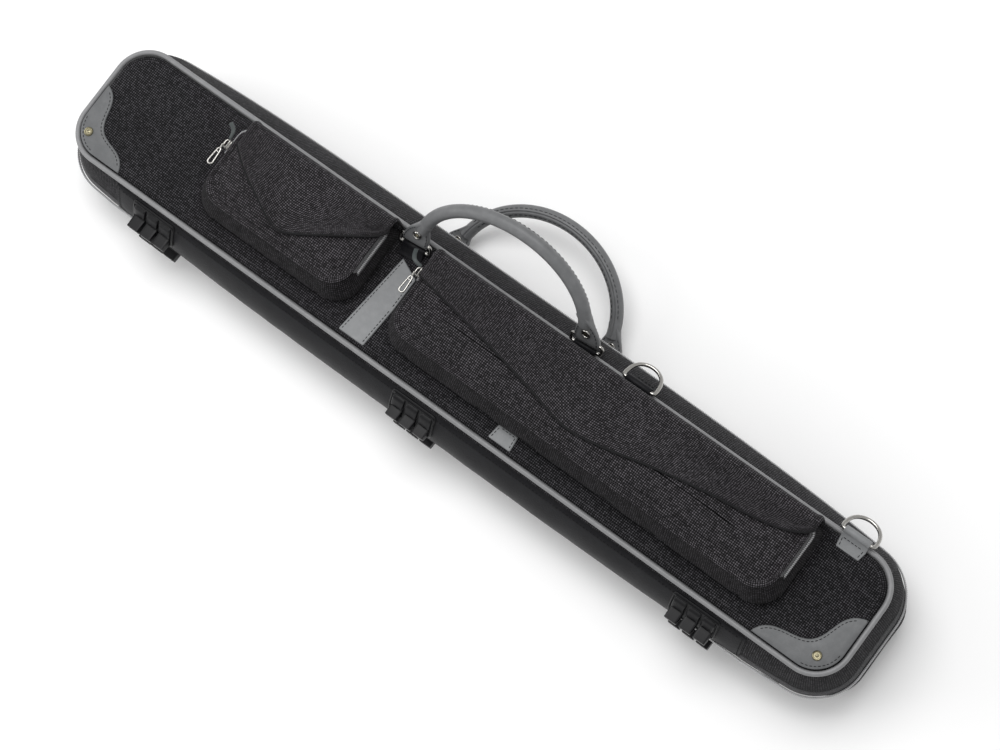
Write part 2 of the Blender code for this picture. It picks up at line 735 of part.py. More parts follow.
def make_handle(name):
    """The rolled grip and its two tabs as one piece of leather, in its own plane."""
    grip = tube(name, grip_path(), GRIP_RADIUS, "handle_leather", sides=8)
    for side, label in ((-1.0, "left"), (1.0, "right")):
        tab = skin(f"{name}_{label}_tab_shape", handle_tab(side), "handle_leather")
        tab.hide_render = True
        tab.display_type = "WIRE"
        combine(grip, tab, "UNION")
        x = side * HANDLE_HALF_SPAN
        hole = rod((x - 0.02, RING_REACH, 0.0), (x + 0.02, RING_REACH, 0.0), RING_WIRE + 0.0004)
        combine(grip, cutter(f"{name}_{label}_eye_cutter", hole), "DIFFERENCE")
    return grip


# ---------------------------------------------------------------- zip sliders


def slider(name, centre, size):
    """A zip slider: a waisted body with a raised bridge, made as one block with bevelled edges."""
    half = Vector(size) / 2
    mesh = block(Vector(centre) - half, Vector(centre) + half)
    bmesh.ops.bevel(mesh, geom=list(mesh.edges), offset=min(size) * 0.22, segments=1, affect="EDGES")
    return finish_mesh(name, mesh, "nickel")


def pull(name, length, width):
    """A flat pull with a long slot, from its pivot bar at the origin along -Y."""
    outline_points = {}
    for label, radius in (("outer", width / 2), ("inner", width / 2 - PULL_RIM)):
        points = circle(0.0, 0.0, 0.0, radius, 16)
        shift = length / 2 - width / 2
        outline_points[label] = [(p.x, p.y - length / 2 + math.copysign(shift, p.y + 1e-9)) for p in points]
    half = PULL_THICKNESS / 2
    sections = (("outer", -half), ("outer", half), ("inner", half), ("inner", -half))
    rows = [[(x, y, z) for x, y in outline_points[label]] for label, z in sections]
    return skin(name, rows, "nickel", wrap_rows=True)


# ---------------------------------------------------------------- putting it together


def joint_empty(name, place):
    empty = bpy.data.objects.new(name, None)
    empty.empty_display_size = 0.02
    empty.matrix_world = place
    bpy.context.scene.collection.objects.link(empty)
    return empty


def attach(parent, *children):
    for child in children:
        child.parent = parent
        child.matrix_parent_inverse = parent.matrix_world.inverted()


def put(obj, place):
    """Moves an object, and the shapes that its modifiers use, from its own plane to its place."""
    obj.matrix_world = place @ obj.matrix_world
    for modifier in obj.modifiers:
        modifier.object.matrix_world = place @ modifier.object.matrix_world


def tilted(pivot, degrees):
    return Matrix.Translation(pivot) @ Matrix.Rotation(math.radians(degrees), 4, "X")


def make_half(front):
    word = "front" if front else "rear"
    pieces = [make_shell(word + "_shell", front), make_piping(word + "_piping", front)]
    pieces.append(make_zip_row(word + "_zip_row", front))
    pieces.append(make_fold_panel(word + "_fold_panel", front))
    for label, centre in FOOT_CENTRES.items():
        pieces.append(make_foot(f"{word}_foot_{label}", centre, front))
    return pieces


def turned(pivot, degrees):
    return Matrix.Translation(pivot) @ Matrix.Rotation(math.radians(degrees), 4, "Z")


def make_handle_set(word, pivot, tilt, skew, loop_makers):
    """A handle with its rings and rivets at their place, and the loops that stay on the case."""
    bars = turned(pivot, skew)
    place = bars @ Matrix.Rotation(math.radians(tilt), 4, "X")
    moving = [make_handle(word + "_handle")]
    fixed = []
    for side, label, make_loop in ((-1.0, "left", loop_makers[0]), (1.0, "right", loop_makers[1])):
        x = side * HANDLE_HALF_SPAN
        moving.append(rectangle_ring(f"{word}_handle_ring_{label}", x))
        rivet_x, rivet_reach, rivet_height = HANDLE_RIVET
        moving.append(rivet(f"{word}_handle_rivet_{label}", side * rivet_x, rivet_reach, rivet_height))
        bar = bars @ Vector((x, 0.0, 0.0))
        name = f"{word}_handle_loop_{label}"
        loop = make_loop(name, bar.x, (bar.y, bar.z), RING_WIRE, HANDLE_LOOP_WIDTH)
        put(loop, turned(bar, skew) @ Matrix.Translation(-bar))
        fixed.append(loop)
    for piece in moving:
        put(piece, place)
    return moving, fixed


def make_strap_ring(name, spec, make_loop):
    x, y, z, tilt = spec
    ring_piece = strap_ring(name)
    put(ring_piece, tilted((x, y, z), tilt))
    return ring_piece, make_loop(name + "_loop", x, (y, z), STRAP_RING_WIRE, STRAP_LOOP_WIDTH)


def make_pocket_slider(word, pocket, y, tail_end):
    """A pocket zip's slider on the left end of the gusset, its pull and its leather tail."""
    rise = pocket["height"]
    slope = Vector((-0.26 * rise, 0.0, 0.0040)).normalized()
    level = POCKET_ZIP_LEVEL * rise
    seat = Vector((pocket["x"][0] + gusset_inset(pocket, level, False), y, DEPTH + level))
    centre = seat + slope * (GAP + POCKET_ZIP_THICKNESS + 0.0023)
    turn = math.atan2(slope.x, slope.z)
    body = slider(word + "_slider", (0.0, 0.0, 0.0), POCKET_SLIDER_SIZE)
    put(body, Matrix.Translation(centre) @ Matrix.Rotation(turn, 4, "Y"))
    pivot = centre + slope * 0.0030 + Vector((0.0, -0.0055, 0.0015))
    pull_piece = pull(word + "_pull", POCKET_PULL_LENGTH, 0.0062)
    put(pull_piece, Matrix.Translation(pivot))
    start = centre + Vector((-0.0020, 0.0058, 0.0))
    tail = leather_tail(word + "_tail", start, start + Vector(tail_end))
    return body, pull_piece, tail, tuple(pivot)


def leather_tail(name, start, finish):
    """A narrow leather strip with a slight curl, from the slider outwards."""
    across = (finish - start).cross(Vector((0, 0, 1))).normalized() * 0.0014
    rows = []
    for k in range(6):
        t = k / 5
        point = start.lerp(finish, t) + Vector((0, 0, 0.002 * math.sin(math.pi * t)))
        lift = Vector((0, 0, 0.0005))
        under, over = point - lift, point + lift
        rows.append([under - across, under + across, over + across, over - across])
    return skin(name, rows, "grey_leather")


def make_main_slider(word, y, direction):
    """A slider of the main zip on the left end of the case, with its pull lying along the zip."""
    x = -HALF_LENGTH - END_FULLNESS - 0.0024
    body = slider(word + "_slider", (x, y, DEPTH / 2), MAIN_SLIDER_SIZE)
    pull_piece = pull(word + "_pull", MAIN_PULL_LENGTH, 0.0070)
    pivot = (x - 0.0032, y + direction * 0.0010, DEPTH / 2)
    turn = Matrix.Rotation(math.radians(90), 4, "Y")
    flip = Matrix.Rotation(math.pi if direction > 0 else 0.0, 4, "Z")
    put(pull_piece, Matrix.Translation(pivot) @ flip @ turn)
    return body, pull_piece, pivot


def make_front_leather():
    pieces = [corner_patch("corner_patch_left", -1.0), corner_patch("corner_patch_right", 1.0)]
    for label, (x, y) in PATCH_RIVETS.items():
        pieces.append(rivet("patch_rivet_" + label, x, y, LEATHER_TOP + GAP))
    for name, shape in (("leather_band", BAND_OUTLINE), ("small_leather_tab", TAB_OUTLINE)):
        pieces.append(plate(name, shape, DEPTH + PANEL_GAP, LEATHER_TOP, "grey_leather"))
    return pieces


def main():
    for obj in list(bpy.data.objects):
        bpy.data.objects.remove(obj)
    rear = make_half(False) + [make_tray("cue_tray")]
    front = make_half(True) + [make_lid_pad("lid_pad")] + make_front_leather()
    front.append(make_pocket("small_pocket", SMALL_POCKET))
    front.append(make_pocket("large_pocket", LARGE_POCKET))
    front.append(make_pocket_zip("small_pocket_zip", SMALL_POCKET, 0.012, -0.0066))
    front.append(make_pocket_zip("large_pocket_zip", LARGE_POCKET, 0.014, -0.0066))
    flaps = (("small_flap", SMALL_POCKET, SMALL_FLAP_EDGE), ("large_flap", LARGE_POCKET, LARGE_FLAP_EDGE))
    front_place = (FRONT_HANDLE_PIVOT, FRONT_HANDLE_TILT, FRONT_HANDLE_SKEW)
    rear_place = (REAR_HANDLE_PIVOT, REAR_HANDLE_TILT, REAR_HANDLE_SKEW)
    front_loop_makers = (handle_panel_loop, lifted_wall_loop)
    front_handle, front_loops = make_handle_set("front", *front_place, front_loop_makers)
    rear_loop_makers = (rear_wall_loop, rear_wall_loop)
    rear_handle, rear_loops = make_handle_set("rear", *rear_place, rear_loop_makers)
    middle_ring, middle_loop = make_strap_ring("middle_strap_ring", MIDDLE_STRAP_RING, front_wall_loop)
    end_ring, end_loop = make_strap_ring("end_strap_ring", END_STRAP_RING, strap_panel_loop)
    small = make_pocket_slider("small_pocket", SMALL_POCKET, 0.0215, (-0.0080, 0.0120, -0.0020))
    large = make_pocket_slider("large_pocket", LARGE_POCKET, 0.0265, (-0.0140, 0.0090, -0.0030))
    upper = make_main_slider("main_upper", 0.0062, 1.0)
    lower = make_main_slider("main_lower", -0.0062, -1.0)

    lid = joint_empty("lid_joint", Matrix.Translation((0.0, LID_AXIS_Y, DEPTH / 2)))
    attach(lid, *front, *front_loops, middle_loop, end_loop)
    for name, pocket, edge in flaps:
        seam = Matrix.Translation((0.0, *FLAP_HINGE))
        crease = Matrix.Translation((0.0, *flap_crease(pocket)))
        attach(joint_empty(name + "_seam_joint", seam), make_flap_root(name + "_root", pocket, edge))
        attach(joint_empty(name + "_crease_joint", crease), make_flap(name, pocket, edge))
    attach(joint_empty("front_handle_joint", Matrix.Translation(FRONT_HANDLE_PIVOT)), *front_handle)
    attach(joint_empty("rear_handle_joint", Matrix.Translation(REAR_HANDLE_PIVOT)), *rear_handle)
    attach(joint_empty("rear_half", Matrix.Identity(4)), *rear, *rear_loops)
    attach(joint_empty("middle_ring_joint", Matrix.Translation(MIDDLE_STRAP_RING[:3])), middle_ring)
    attach(joint_empty("end_ring_joint", Matrix.Translation(END_STRAP_RING[:3])), end_ring)
    for word, (body, pull_piece, tail, pivot) in (("small", small), ("large", large)):
        attach(joint_empty(word + "_slider_joint", Matrix.Translation(pivot)), body, pull_piece, tail)
    for word, (body, pull_piece, pivot) in (("upper", upper), ("lower", lower)):
        attach(joint_empty(word + "_slider_joint", Matrix.Translation(pivot)), body, pull_piece)


main()
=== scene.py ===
"""The looks of the padded cue case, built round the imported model. Everything is in metres.

The case lies on its back panel: +X along its length, +Y the handle side, -Y the fold and the feet, +Z out of
the front panel. Each cloth, leather, metal or plastic piece replaces the plain CAD node that has its name.
"""

import math

import bmesh
import bpy
from mathutils import Matrix, Vector, noise
from mathutils.bvhtree import BVHTree


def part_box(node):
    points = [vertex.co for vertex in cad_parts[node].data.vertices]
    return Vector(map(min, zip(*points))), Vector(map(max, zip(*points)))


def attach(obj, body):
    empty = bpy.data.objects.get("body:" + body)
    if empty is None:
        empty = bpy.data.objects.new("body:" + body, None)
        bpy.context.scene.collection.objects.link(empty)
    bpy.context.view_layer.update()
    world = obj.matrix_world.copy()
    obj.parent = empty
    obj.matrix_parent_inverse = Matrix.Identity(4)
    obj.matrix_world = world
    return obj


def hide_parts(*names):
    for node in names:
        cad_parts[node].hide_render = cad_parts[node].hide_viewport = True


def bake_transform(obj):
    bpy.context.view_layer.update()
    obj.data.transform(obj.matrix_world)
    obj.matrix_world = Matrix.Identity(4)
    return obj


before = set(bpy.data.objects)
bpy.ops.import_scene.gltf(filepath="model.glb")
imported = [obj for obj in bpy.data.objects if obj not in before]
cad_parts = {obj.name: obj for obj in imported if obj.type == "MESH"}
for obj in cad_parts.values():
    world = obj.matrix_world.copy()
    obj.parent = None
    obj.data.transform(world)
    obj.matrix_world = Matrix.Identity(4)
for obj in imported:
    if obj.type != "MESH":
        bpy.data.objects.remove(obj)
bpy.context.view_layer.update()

UV_NAME = "Cloth"

# The case's own lines, read from the frame. The piping's box gives the seam line and the corners' ends.
PIPING_RADIUS = 0.0027
SLIMMER_PIPING = 0.84
REAR_PIPING_RADIUS = 0.00245
CASE_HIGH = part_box("front_shell")[1]
DEPTH = CASE_HIGH.z
MIDDLE = DEPTH / 2
HALF_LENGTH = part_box("front_piping")[1].x - PIPING_RADIUS
HALF_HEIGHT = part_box("front_piping")[1].y - PIPING_RADIUS
CORNER_RADIUS = 0.031
END_FULLNESS = 0.009
LONG_FULLNESS_ENDS = 0.012
LONG_FULLNESS_MIDDLE = 0.020
REAR_END_BULGE = 0.008
REAR_BULGE_DEPTH = 0.042
WALL_THICKNESS = 0.005
PANEL_INSET = -0.0056
WALL_START_INSET = -0.0014
BEVEL_DEPTH = 0.006
FRONT_PIPING_DEPTH = 0.0018
REAR_PIPING_DEPTH = 0.0030
ZIP_BAND = 0.0044
ZIP_REBATE = 0.0026
FOLD_ENDS = (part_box("front_fold_panel")[0].x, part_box("front_fold_panel")[1].x)
FOLD_START = 0.0125
FOLD_EXTRA = 0.0007
FOLD_THICKNESS = 0.0012
STITCH_LENGTH = 0.0023
STITCH_GAP = 0.0012
STITCH_RADIUS = 0.00030


# ---------------------------------------------------------------- materials


def new_material(name, roughness, metallic=0.0, sheen=0.0, coat=0.0):
    material = bpy.data.materials.new(name)
    material.use_nodes = True
    shader = material.node_tree.nodes["Principled BSDF"]
    shader.inputs["Roughness"].default_value = roughness
    shader.inputs["Metallic"].default_value = metallic
    shader.inputs["Sheen Weight"].default_value = sheen
    shader.inputs["Sheen Roughness"].default_value = 0.4
    shader.inputs["Coat Weight"].default_value = coat
    shader.inputs["Coat Roughness"].default_value = 0.25
    return material, material.node_tree, shader


def add(tree, kind, **values):
    """A node with its inputs set by name or, for a link, joined to the socket given."""
    node = tree.nodes.new(kind)
    for key, value in values.items():
        name = key.replace("_", " ").title() if not key.startswith("in") else None
        socket = node.inputs[int(key[2:])] if name is None else node.inputs[name]
        if isinstance(value, bpy.types.NodeSocket):
            tree.links.new(value, socket)
        else:
            socket.default_value = value
    return node


def calculate(tree, operation, a, b=0.0):
    node = tree.nodes.new("ShaderNodeMath")
    node.operation = operation
    for socket, value in zip(node.inputs, (a, b)):
        if isinstance(value, bpy.types.NodeSocket):
            tree.links.new(value, socket)
        else:
            socket.default_value = value
    return node.outputs[0]


def times(tree, a, b):
    return calculate(tree, "MULTIPLY", a, b)


def plus(tree, a, b):
    return calculate(tree, "ADD", a, b)


def mix_colours(tree, share, first, second):
    node = tree.nodes.new("ShaderNodeMix")
    node.data_type = "RGBA"
    colours = [socket for socket in node.inputs if socket.type == "RGBA"]
    for socket, value in ((node.inputs[0], share), (colours[0], first), (colours[1], second)):
        if isinstance(value, bpy.types.NodeSocket):
            tree.links.new(value, socket)
        else:
            socket.default_value = (*value, 1.0) if isinstance(value, tuple) else value
    return next(socket for socket in node.outputs if socket.type == "RGBA")


def bump(tree, shader, height, strength, distance):
    node = add(tree, "ShaderNodeBump", strength=strength, distance=distance, height=height)
    tree.links.new(node.outputs[0], shader.inputs["Normal"])


def noise_socket(tree, scale, detail=3.0, vector=None):
    place = vector or tree.nodes.new("ShaderNodeTexCoord").outputs["Object"]
    node = add(tree, "ShaderNodeTexNoise", vector=place, scale=scale, detail=detail)
    return node.outputs[0]


def weave_material(name, dark, light, yarn=0.0019, sheen=0.04, roughness=0.72):
    """Basket weave of thick nylon yarn: each cell shows the warp or the weft passing over. Its colour is
    painted shade in the valleys and painted highlight on the crowns, with random yarn tone and wear.
    """
    material, tree, shader = new_material(name, roughness, sheen=sheen)
    shader.inputs["Specular IOR Level"].default_value = 0.10
    place = tree.nodes.new("ShaderNodeUVMap")
    place.uv_map = UV_NAME
    wobble = noise_socket(tree, 900.0, 1.0, place.outputs[0])
    split = add(tree, "ShaderNodeSeparateXYZ", in0=place.outputs[0])
    cells, parts, arches = [], [], []
    for axis in (0, 1):
        counted = calculate(tree, "DIVIDE", split.outputs[axis], yarn)
        counted = plus(tree, counted, times(tree, wobble, 0.35))
        cells.append(calculate(tree, "FLOOR", counted))
        parts.append(calculate(tree, "FRACT", counted))
        arches.append(calculate(tree, "SINE", times(tree, parts[axis], math.pi)))
    parity = calculate(tree, "FLOORED_MODULO", plus(tree, cells[0], cells[1]), 2.0)
    yarns = []
    for across, along in ((0, 1), (1, 0)):
        crown = plus(tree, times(tree, arches[along], 0.55), 0.45)
        yarns.append(times(tree, calculate(tree, "POWER", arches[across], 0.6), crown))
    over = times(tree, yarns[0], parity)
    under = times(tree, yarns[1], calculate(tree, "SUBTRACT", 1.0, parity))
    height = plus(tree, over, under)
    cell = add(tree, "ShaderNodeCombineXYZ", in0=cells[0], in1=cells[1])
    tone = add(tree, "ShaderNodeTexWhiteNoise", vector=cell.outputs[0]).outputs[0]
    wear = noise_socket(tree, 22.0, 4.0)
    # Colour from the yarn's height: painted shade in the valleys and painted highlight on the crowns, times
    # random yarn tone and slow wear.
    painted_crown_light_tone_wear = calculate(tree, "POWER", height, 3.6)
    painted_crown_light_tone_wear = times(tree, painted_crown_light_tone_wear, plus(tree, times(tree, tone, 0.9), 0.35))
    painted_crown_light_tone_wear = times(tree, painted_crown_light_tone_wear, plus(tree, times(tree, wear, 0.7), 0.65))
    tree.links.new(mix_colours(tree, painted_crown_light_tone_wear, dark, light), shader.inputs["Base Color"])
    bump(tree, shader, height, 0.75, yarn * 0.45)
    return material


def leather_material(name, base, worn, grain=900.0, roughness=0.45, coat=0.08, specular=0.30):
    """Fine-grained leather: cells with creases between them, a slowly drifting tone and lighter scuffs."""
    material, tree, shader = new_material(name, roughness, coat=coat)
    shader.inputs["Specular IOR Level"].default_value = specular
    place = tree.nodes.new("ShaderNodeTexCoord").outputs["Object"]
    cells = add(tree, "ShaderNodeTexVoronoi", vector=place, scale=grain)
    fine = noise_socket(tree, 2600.0, 2.0)
    drift = noise_socket(tree, 38.0, 5.0)
    scuffs = calculate(tree, "POWER", noise_socket(tree, 160.0, 6.0), 2.5)
    share = plus(tree, times(tree, drift, 0.55), scuffs)
    tree.links.new(mix_colours(tree, share, base, worn), shader.inputs["Base Color"])
    gloss = plus(tree, times(tree, drift, 0.22), roughness - 0.11)
    tree.links.new(gloss, shader.inputs["Roughness"])
    height = calculate(tree, "SUBTRACT", times(tree, fine, 0.35), cells.outputs["Distance"])
    bump(tree, shader, height, 0.35, 0.00025)
    return material


def metal_material(name, colour, tint, roughness=0.16):
    material, tree, shader = new_material(name, roughness, metallic=1.0)
    film = noise_socket(tree, 240.0, 4.0)
    tree.links.new(mix_colours(tree, film, colour, tint), shader.inputs["Base Color"])
    gloss = plus(tree, times(tree, film, 0.20), roughness - 0.06)
    tree.links.new(gloss, shader.inputs["Roughness"])
    bump(tree, shader, noise_socket(tree, 1400.0, 2.0), 0.05, 0.0001)
    return material


def moulded_material(name, base, rubbed):
    material, tree, shader = new_material(name, 0.34)
    shader.inputs["Specular IOR Level"].default_value = 0.22
    drift = noise_socket(tree, 70.0, 5.0)
    tree.links.new(mix_colours(tree, drift, base, rubbed), shader.inputs["Base Color"])
    gloss = plus(tree, times(tree, drift, 0.28), 0.22)
    tree.links.new(gloss, shader.inputs["Roughness"])
    bump(tree, shader, noise_socket(tree, 3200.0, 2.0), 0.18, 0.0001)
    return material


def thread_material(name, colour):
    material, tree, shader = new_material(name, 0.7)
    shader.inputs["Specular IOR Level"].default_value = 0.12
    twist = noise_socket(tree, 4200.0, 1.0)
    shaded = tuple(c * 0.6 for c in colour)
    tree.links.new(mix_colours(tree, twist, shaded, colour), shader.inputs["Base Color"])
    bump(tree, shader, twist, 0.4, 0.0001)
    return material


def pile_material(name, base, tip):
    """Short brushed pile, as on a case's lining."""
    material, tree, shader = new_material(name, 0.95, sheen=0.5)
    pile = noise_socket(tree, 1500.0, 4.0)
    drift = noise_socket(tree, 30.0, 3.0)
    share = times(tree, pile, plus(tree, drift, 0.4))
    tree.links.new(mix_colours(tree, share, base, tip), shader.inputs["Base Color"])
    bump(tree, shader, pile, 0.5, 0.0004)
    return material


def floor_material():
    material, tree, shader = new_material("pale_floor", 0.6)
    shade = mix_colours(tree, noise_socket(tree, 3.0, 2.0), (0.93, 0.93, 0.93), (0.95, 0.95, 0.95))
    tree.links.new(shade, shader.inputs["Base Color"])
    return material


# Each weave runs from its first colour, painted shade in the valleys, to its second, painted highlight on the
# yarn crowns.
BODY_CLOTH = weave_material("body_weave", (0.0015, 0.0015, 0.0018), (0.085, 0.082, 0.090))
POCKET_CLOTH = weave_material("pocket_weave", (0.0025, 0.0023, 0.0026), (0.125, 0.117, 0.128))
# The gussets' weave: the pocket's cloth made darker as painted shade, for sides that face down and away from
# the lamps.
SHADED_GUSSET_CLOTH = weave_material("gusset_weave", (0.0012, 0.0011, 0.0013), (0.060, 0.056, 0.062))
TAPE_CLOTH = weave_material("zip_tape", (0.060, 0.060, 0.062), (0.300, 0.300, 0.305), 0.00040, 0.05)
SMOOTH_PANEL = leather_material(
    "smooth_panel", (0.004, 0.004, 0.005), (0.011, 0.011, 0.013),
    grain=700.0, roughness=0.46, coat=0.0, specular=0.14,
)
PIPING_SKIN = leather_material("piping_vinyl", (0.175, 0.176, 0.180), (0.260, 0.260, 0.266), 1100.0, 0.38)
GREY_LEATHER = leather_material("grey_leather", (0.165, 0.170, 0.175), (0.245, 0.250, 0.255), 850.0, 0.50)
PATCH_LEATHER = leather_material("patch_leather", (0.085, 0.088, 0.091), (0.150, 0.153, 0.157), 850.0, 0.52)
HANDLE_LEATHER = leather_material("handle_leather", (0.105, 0.107, 0.110), (0.175, 0.178, 0.182), 800.0, 0.44)
TAIL_LEATHER = leather_material("tail_leather", (0.035, 0.042, 0.042), (0.060, 0.070, 0.070), 900.0, 0.5)
LINING = pile_material("lining_pile", (0.008, 0.008, 0.009), (0.050, 0.050, 0.054))
NICKEL = metal_material("nickel", (0.50, 0.49, 0.47), (0.34, 0.33, 0.31), 0.14)
RIVET_METAL = metal_material("rivet_metal", (0.33, 0.30, 0.20), (0.17, 0.155, 0.10), 0.28)
FOOT_PLASTIC = moulded_material("foot_plastic", (0.003, 0.003, 0.004), (0.009, 0.009, 0.010))
COIL_NYLON = moulded_material("coil_nylon", (0.360, 0.360, 0.365), (0.520, 0.520, 0.530))
BLACK_THREAD = thread_material("black_thread", (0.014, 0.014, 0.015))


# ---------------------------------------------------------------- building meshes


def lengths(points, closed):
    """The distance along a line of points, with the closing step at the end where it is closed."""
    total, found = 0.0, [0.0]
    pairs = zip(points, points[1:] + (points[:1] if closed else []))
    for a, b in pairs:
        total += (b - a).length
        found.append(total)
    return found


class Piece:
    """A mesh built from grids of quads, each with its place on the cloth, in metres, as its UV."""

    def __init__(self, name, *materials):
        self.name = name
        self.mesh = bmesh.new()
        self.uv = self.mesh.loops.layers.uv.new(UV_NAME)
        self.materials = materials
        self.caps = []

    def face(self, vertices, places, slot):
        face = self.mesh.faces.new(vertices)
        face.material_index = slot
        face.smooth = True
        for loop, place in zip(face.loops, places):
            loop[self.uv].uv = place
        return face

    def grid(self, rows, slot=0, flat=False, wrap_rows=False, wrap_columns=False, skip=None):
        """Rows of points of equal number. flat takes X and Y as the place on the cloth."""
        height, width = len(rows), len(rows[0])
        vertices = [[self.mesh.verts.new(point) for point in row] for row in rows]
        along = lengths(rows[height // 2], wrap_columns)
        columns = [lengths([row[j] for row in rows], wrap_rows) for j in range(width)]
        for i in range(height - (not wrap_rows)):
            for j in range(width - (not wrap_columns)):
                quad = ((i, j), (i, j + 1), (i + 1, j + 1), (i + 1, j))
                corners = [rows[a % height][b % width] for a, b in quad]
                if skip and skip(sum(corners, Vector()) / 4):
                    continue
                if flat:
                    places = [(p.x, p.y) for p in corners]
                else:
                    places = [(along[b], columns[b % width][a]) for a, b in quad]
                self.face([vertices[a % height][b % width] for a, b in quad], places, slot)

    def cap(self, ring, slot=0):
        places = [(p.x, p.y) for p in ring]
        face = self.face([self.mesh.verts.new(p) for p in ring], places, slot)
        self.caps.append(face)

    def finish(self, body, *nodes, slot_name=None, sharp=50.0, weld=2e-6):
        """Makes the object, and has it ride on body and stand for the CAD nodes."""
        self.mesh.normal_update()
        bmesh.ops.triangulate(self.mesh, faces=self.caps, ngon_method="EAR_CLIP")
        bmesh.ops.remove_doubles(self.mesh, verts=self.mesh.verts, dist=weld)
        bmesh.ops.dissolve_degenerate(self.mesh, edges=self.mesh.edges, dist=weld)
        bmesh.ops.recalc_face_normals(self.mesh, faces=self.mesh.faces)
        data = bpy.data.meshes.new(self.name)
        self.mesh.to_mesh(data)
        self.mesh.free()
        for material in self.materials:
            data.materials.append(material)
        data.set_sharp_from_angle(angle=math.radians(sharp))
        obj = bpy.data.objects.new(self.name, data)
        bpy.context.scene.collection.objects.link(obj)
        if body:
            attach(obj, body)
        if nodes:
            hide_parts(*nodes)
        return obj


def frames_along(path, closed, normal):
    """For each point of a path: its side and its normal, square to the path."""
    count = len(path)
    found = []
    for i in range(count):
        before = path[i - 1] if (closed or i) else path[i]
        after = path[(i + 1) % count] if (closed or i < count - 1) else path[i]
        along = (after - before).normalized()
        up = normal(i) if callable(normal) else normal
        side = along.cross(up).normalized()
        found.append((side, side.cross(along).normalized()))
    return found


def sweep(piece, path, radius, normal, sides=12, slot=0, closed=False, section=None):
    """A tube along a path. radius may change along it, and section(turn) scales it round the tube."""
    rows = []
    for i, (side, up) in enumerate(frames_along(path, closed, normal)):
        size = radius(i) if callable(radius) else radius
        row = []
        for k in range(sides):
            turn = 2 * math.pi * k / sides
            scale = size * (section(turn) if section else 1.0)
            row.append(path[i] + scale * (math.cos(turn) * side + math.sin(turn) * up))
        rows.append(row)
    piece.grid(rows, slot, wrap_rows=closed, wrap_columns=True)
    if not closed:
        piece.cap(rows[0], slot)
        piece.cap(rows[-1], slot)
    return rows


def ribbon(piece, path, normal, width, thickness, slot=0, edge=0.0004):
    """A flat strap along a path, with rounded edges. width may be one value or one for each point."""
    rows = []
    for i, (side, up) in enumerate(frames_along(path, False, normal)):
        half = (width[i] if isinstance(width, (list, tuple)) else width) / 2
        tall = thickness / 2
        corners = (
            (-half + edge, tall), (0.0, tall * 1.06), (half - edge, tall), (half, tall - edge),
            (half, -tall + edge), (half - edge, -tall), (-half + edge, -tall), (-half, -tall + edge),
            (-half, tall - edge),
        )
        rows.append([path[i] + side * a + up * b for a, b in corners])
    piece.grid(rows, slot, wrap_columns=True)
    piece.cap(rows[0], slot)
    piece.cap(rows[-1], slot)


def resample(points, step, closed=False):
    """Points about step apart along a line of points."""
    line = points + (points[:1] if closed else [])
    along = lengths(line, False)
    count = max(2, round(along[-1] / step))
    found, i = [], 0
    for k in range(count + (0 if closed else 1)):
        at = along[-1] * k / count
        while i < len(line) - 2 and along[i + 1] < at:
            i += 1
        part = (at - along[i]) / max(along[i + 1] - along[i], 1e-12)
        found.append(line[i].lerp(line[i + 1], min(1.0, part)))
    return found


def smooth_line(points, step, closed=False):
    """A smooth curve through a few points (Catmull-Rom), with points about step apart."""
    count = len(points)
    dense = []
    for i in range(count if closed else count - 1):
        if closed:
            p0, p1, p2, p3 = (points[(i + k) % count] for k in (-1, 0, 1, 2))
        else:
            p0, p1 = points[max(0, i - 1)], points[i]
            p2, p3 = points[i + 1], points[min(count - 1, i + 2)]
        for k in range(12):
            t = k / 12
            a, b = 2 * p1, (p2 - p0) * t
            c, d = (2 * p0 - 5 * p1 + 4 * p2 - p3) * t * t, (3 * p1 - p0 - 3 * p2 + p3) * t**3
            dense.append((a + b + c + d) / 2)
    if not closed:
        dense.append(points[-1])
    return resample(dense, step, closed)


def stitch_run(piece, path, up, slot=0, length=STITCH_LENGTH, gap=STITCH_GAP, radius=STITCH_RADIUS):
    """A row of stitches along a path: each is a short thread, high in the middle and sunk at its ends."""
    line = resample(path, 0.0004)
    along = lengths(line, False)
    start = gap
    while start + length < along[-1]:
        points = []
        for k in range(4):
            at = start + length * k / 3
            i = next(n for n in range(len(along) - 1, -1, -1) if along[n] <= at)
            normal = up(line[i]) if callable(up) else up
            lift = (-0.4, 0.75, 0.75, -0.4)[k] * radius
            points.append(line[i] + normal * lift)
        normal = up(points[1]) if callable(up) else up
        sweep(piece, points, lambda i: radius * (0.75, 1.0, 1.0, 0.75)[i], normal, 5, slot)
        start += length + gap


def inset_outline(points, distance):
    """A closed flat outline moved inwards. The points run anticlockwise."""
    count = len(points)
    found = []
    for i in range(count):
        before = (points[i] - points[i - 1]).normalized()
        after = (points[(i + 1) % count] - points[i]).normalized()
        bisector = (before + after).normalized()
        inward = Vector((-bisector.y, bisector.x, 0.0))
        spread = max(0.55, inward.dot(Vector((-before.y, before.x, 0.0))))
        found.append(points[i] + inward * distance / spread)
    return found


def round_outline(corners, radius, step=0.0015):
    """A closed outline with its corners rounded, anticlockwise, resampled evenly."""
    points = [Vector((x, y, 0.0)) for x, y in corners]
    area = sum(a.x * b.y - b.x * a.y for a, b in zip(points, points[1:] + points[:1]))
    if area < 0:
        points.reverse()
    found = []
    count = len(points)
    for i, corner in enumerate(points):
        before, after = points[i - 1] - corner, points[(i + 1) % count] - corner
        reach = min(radius, before.length * 0.45, after.length * 0.45)
        first, last = corner + before.normalized() * reach, corner + after.normalized() * reach
        for k in range(5):
            t = k / 4
            found.append(first * (1 - t) ** 2 + corner * 2 * t * (1 - t) + last * t**2)
    return resample(found, step, closed=True)


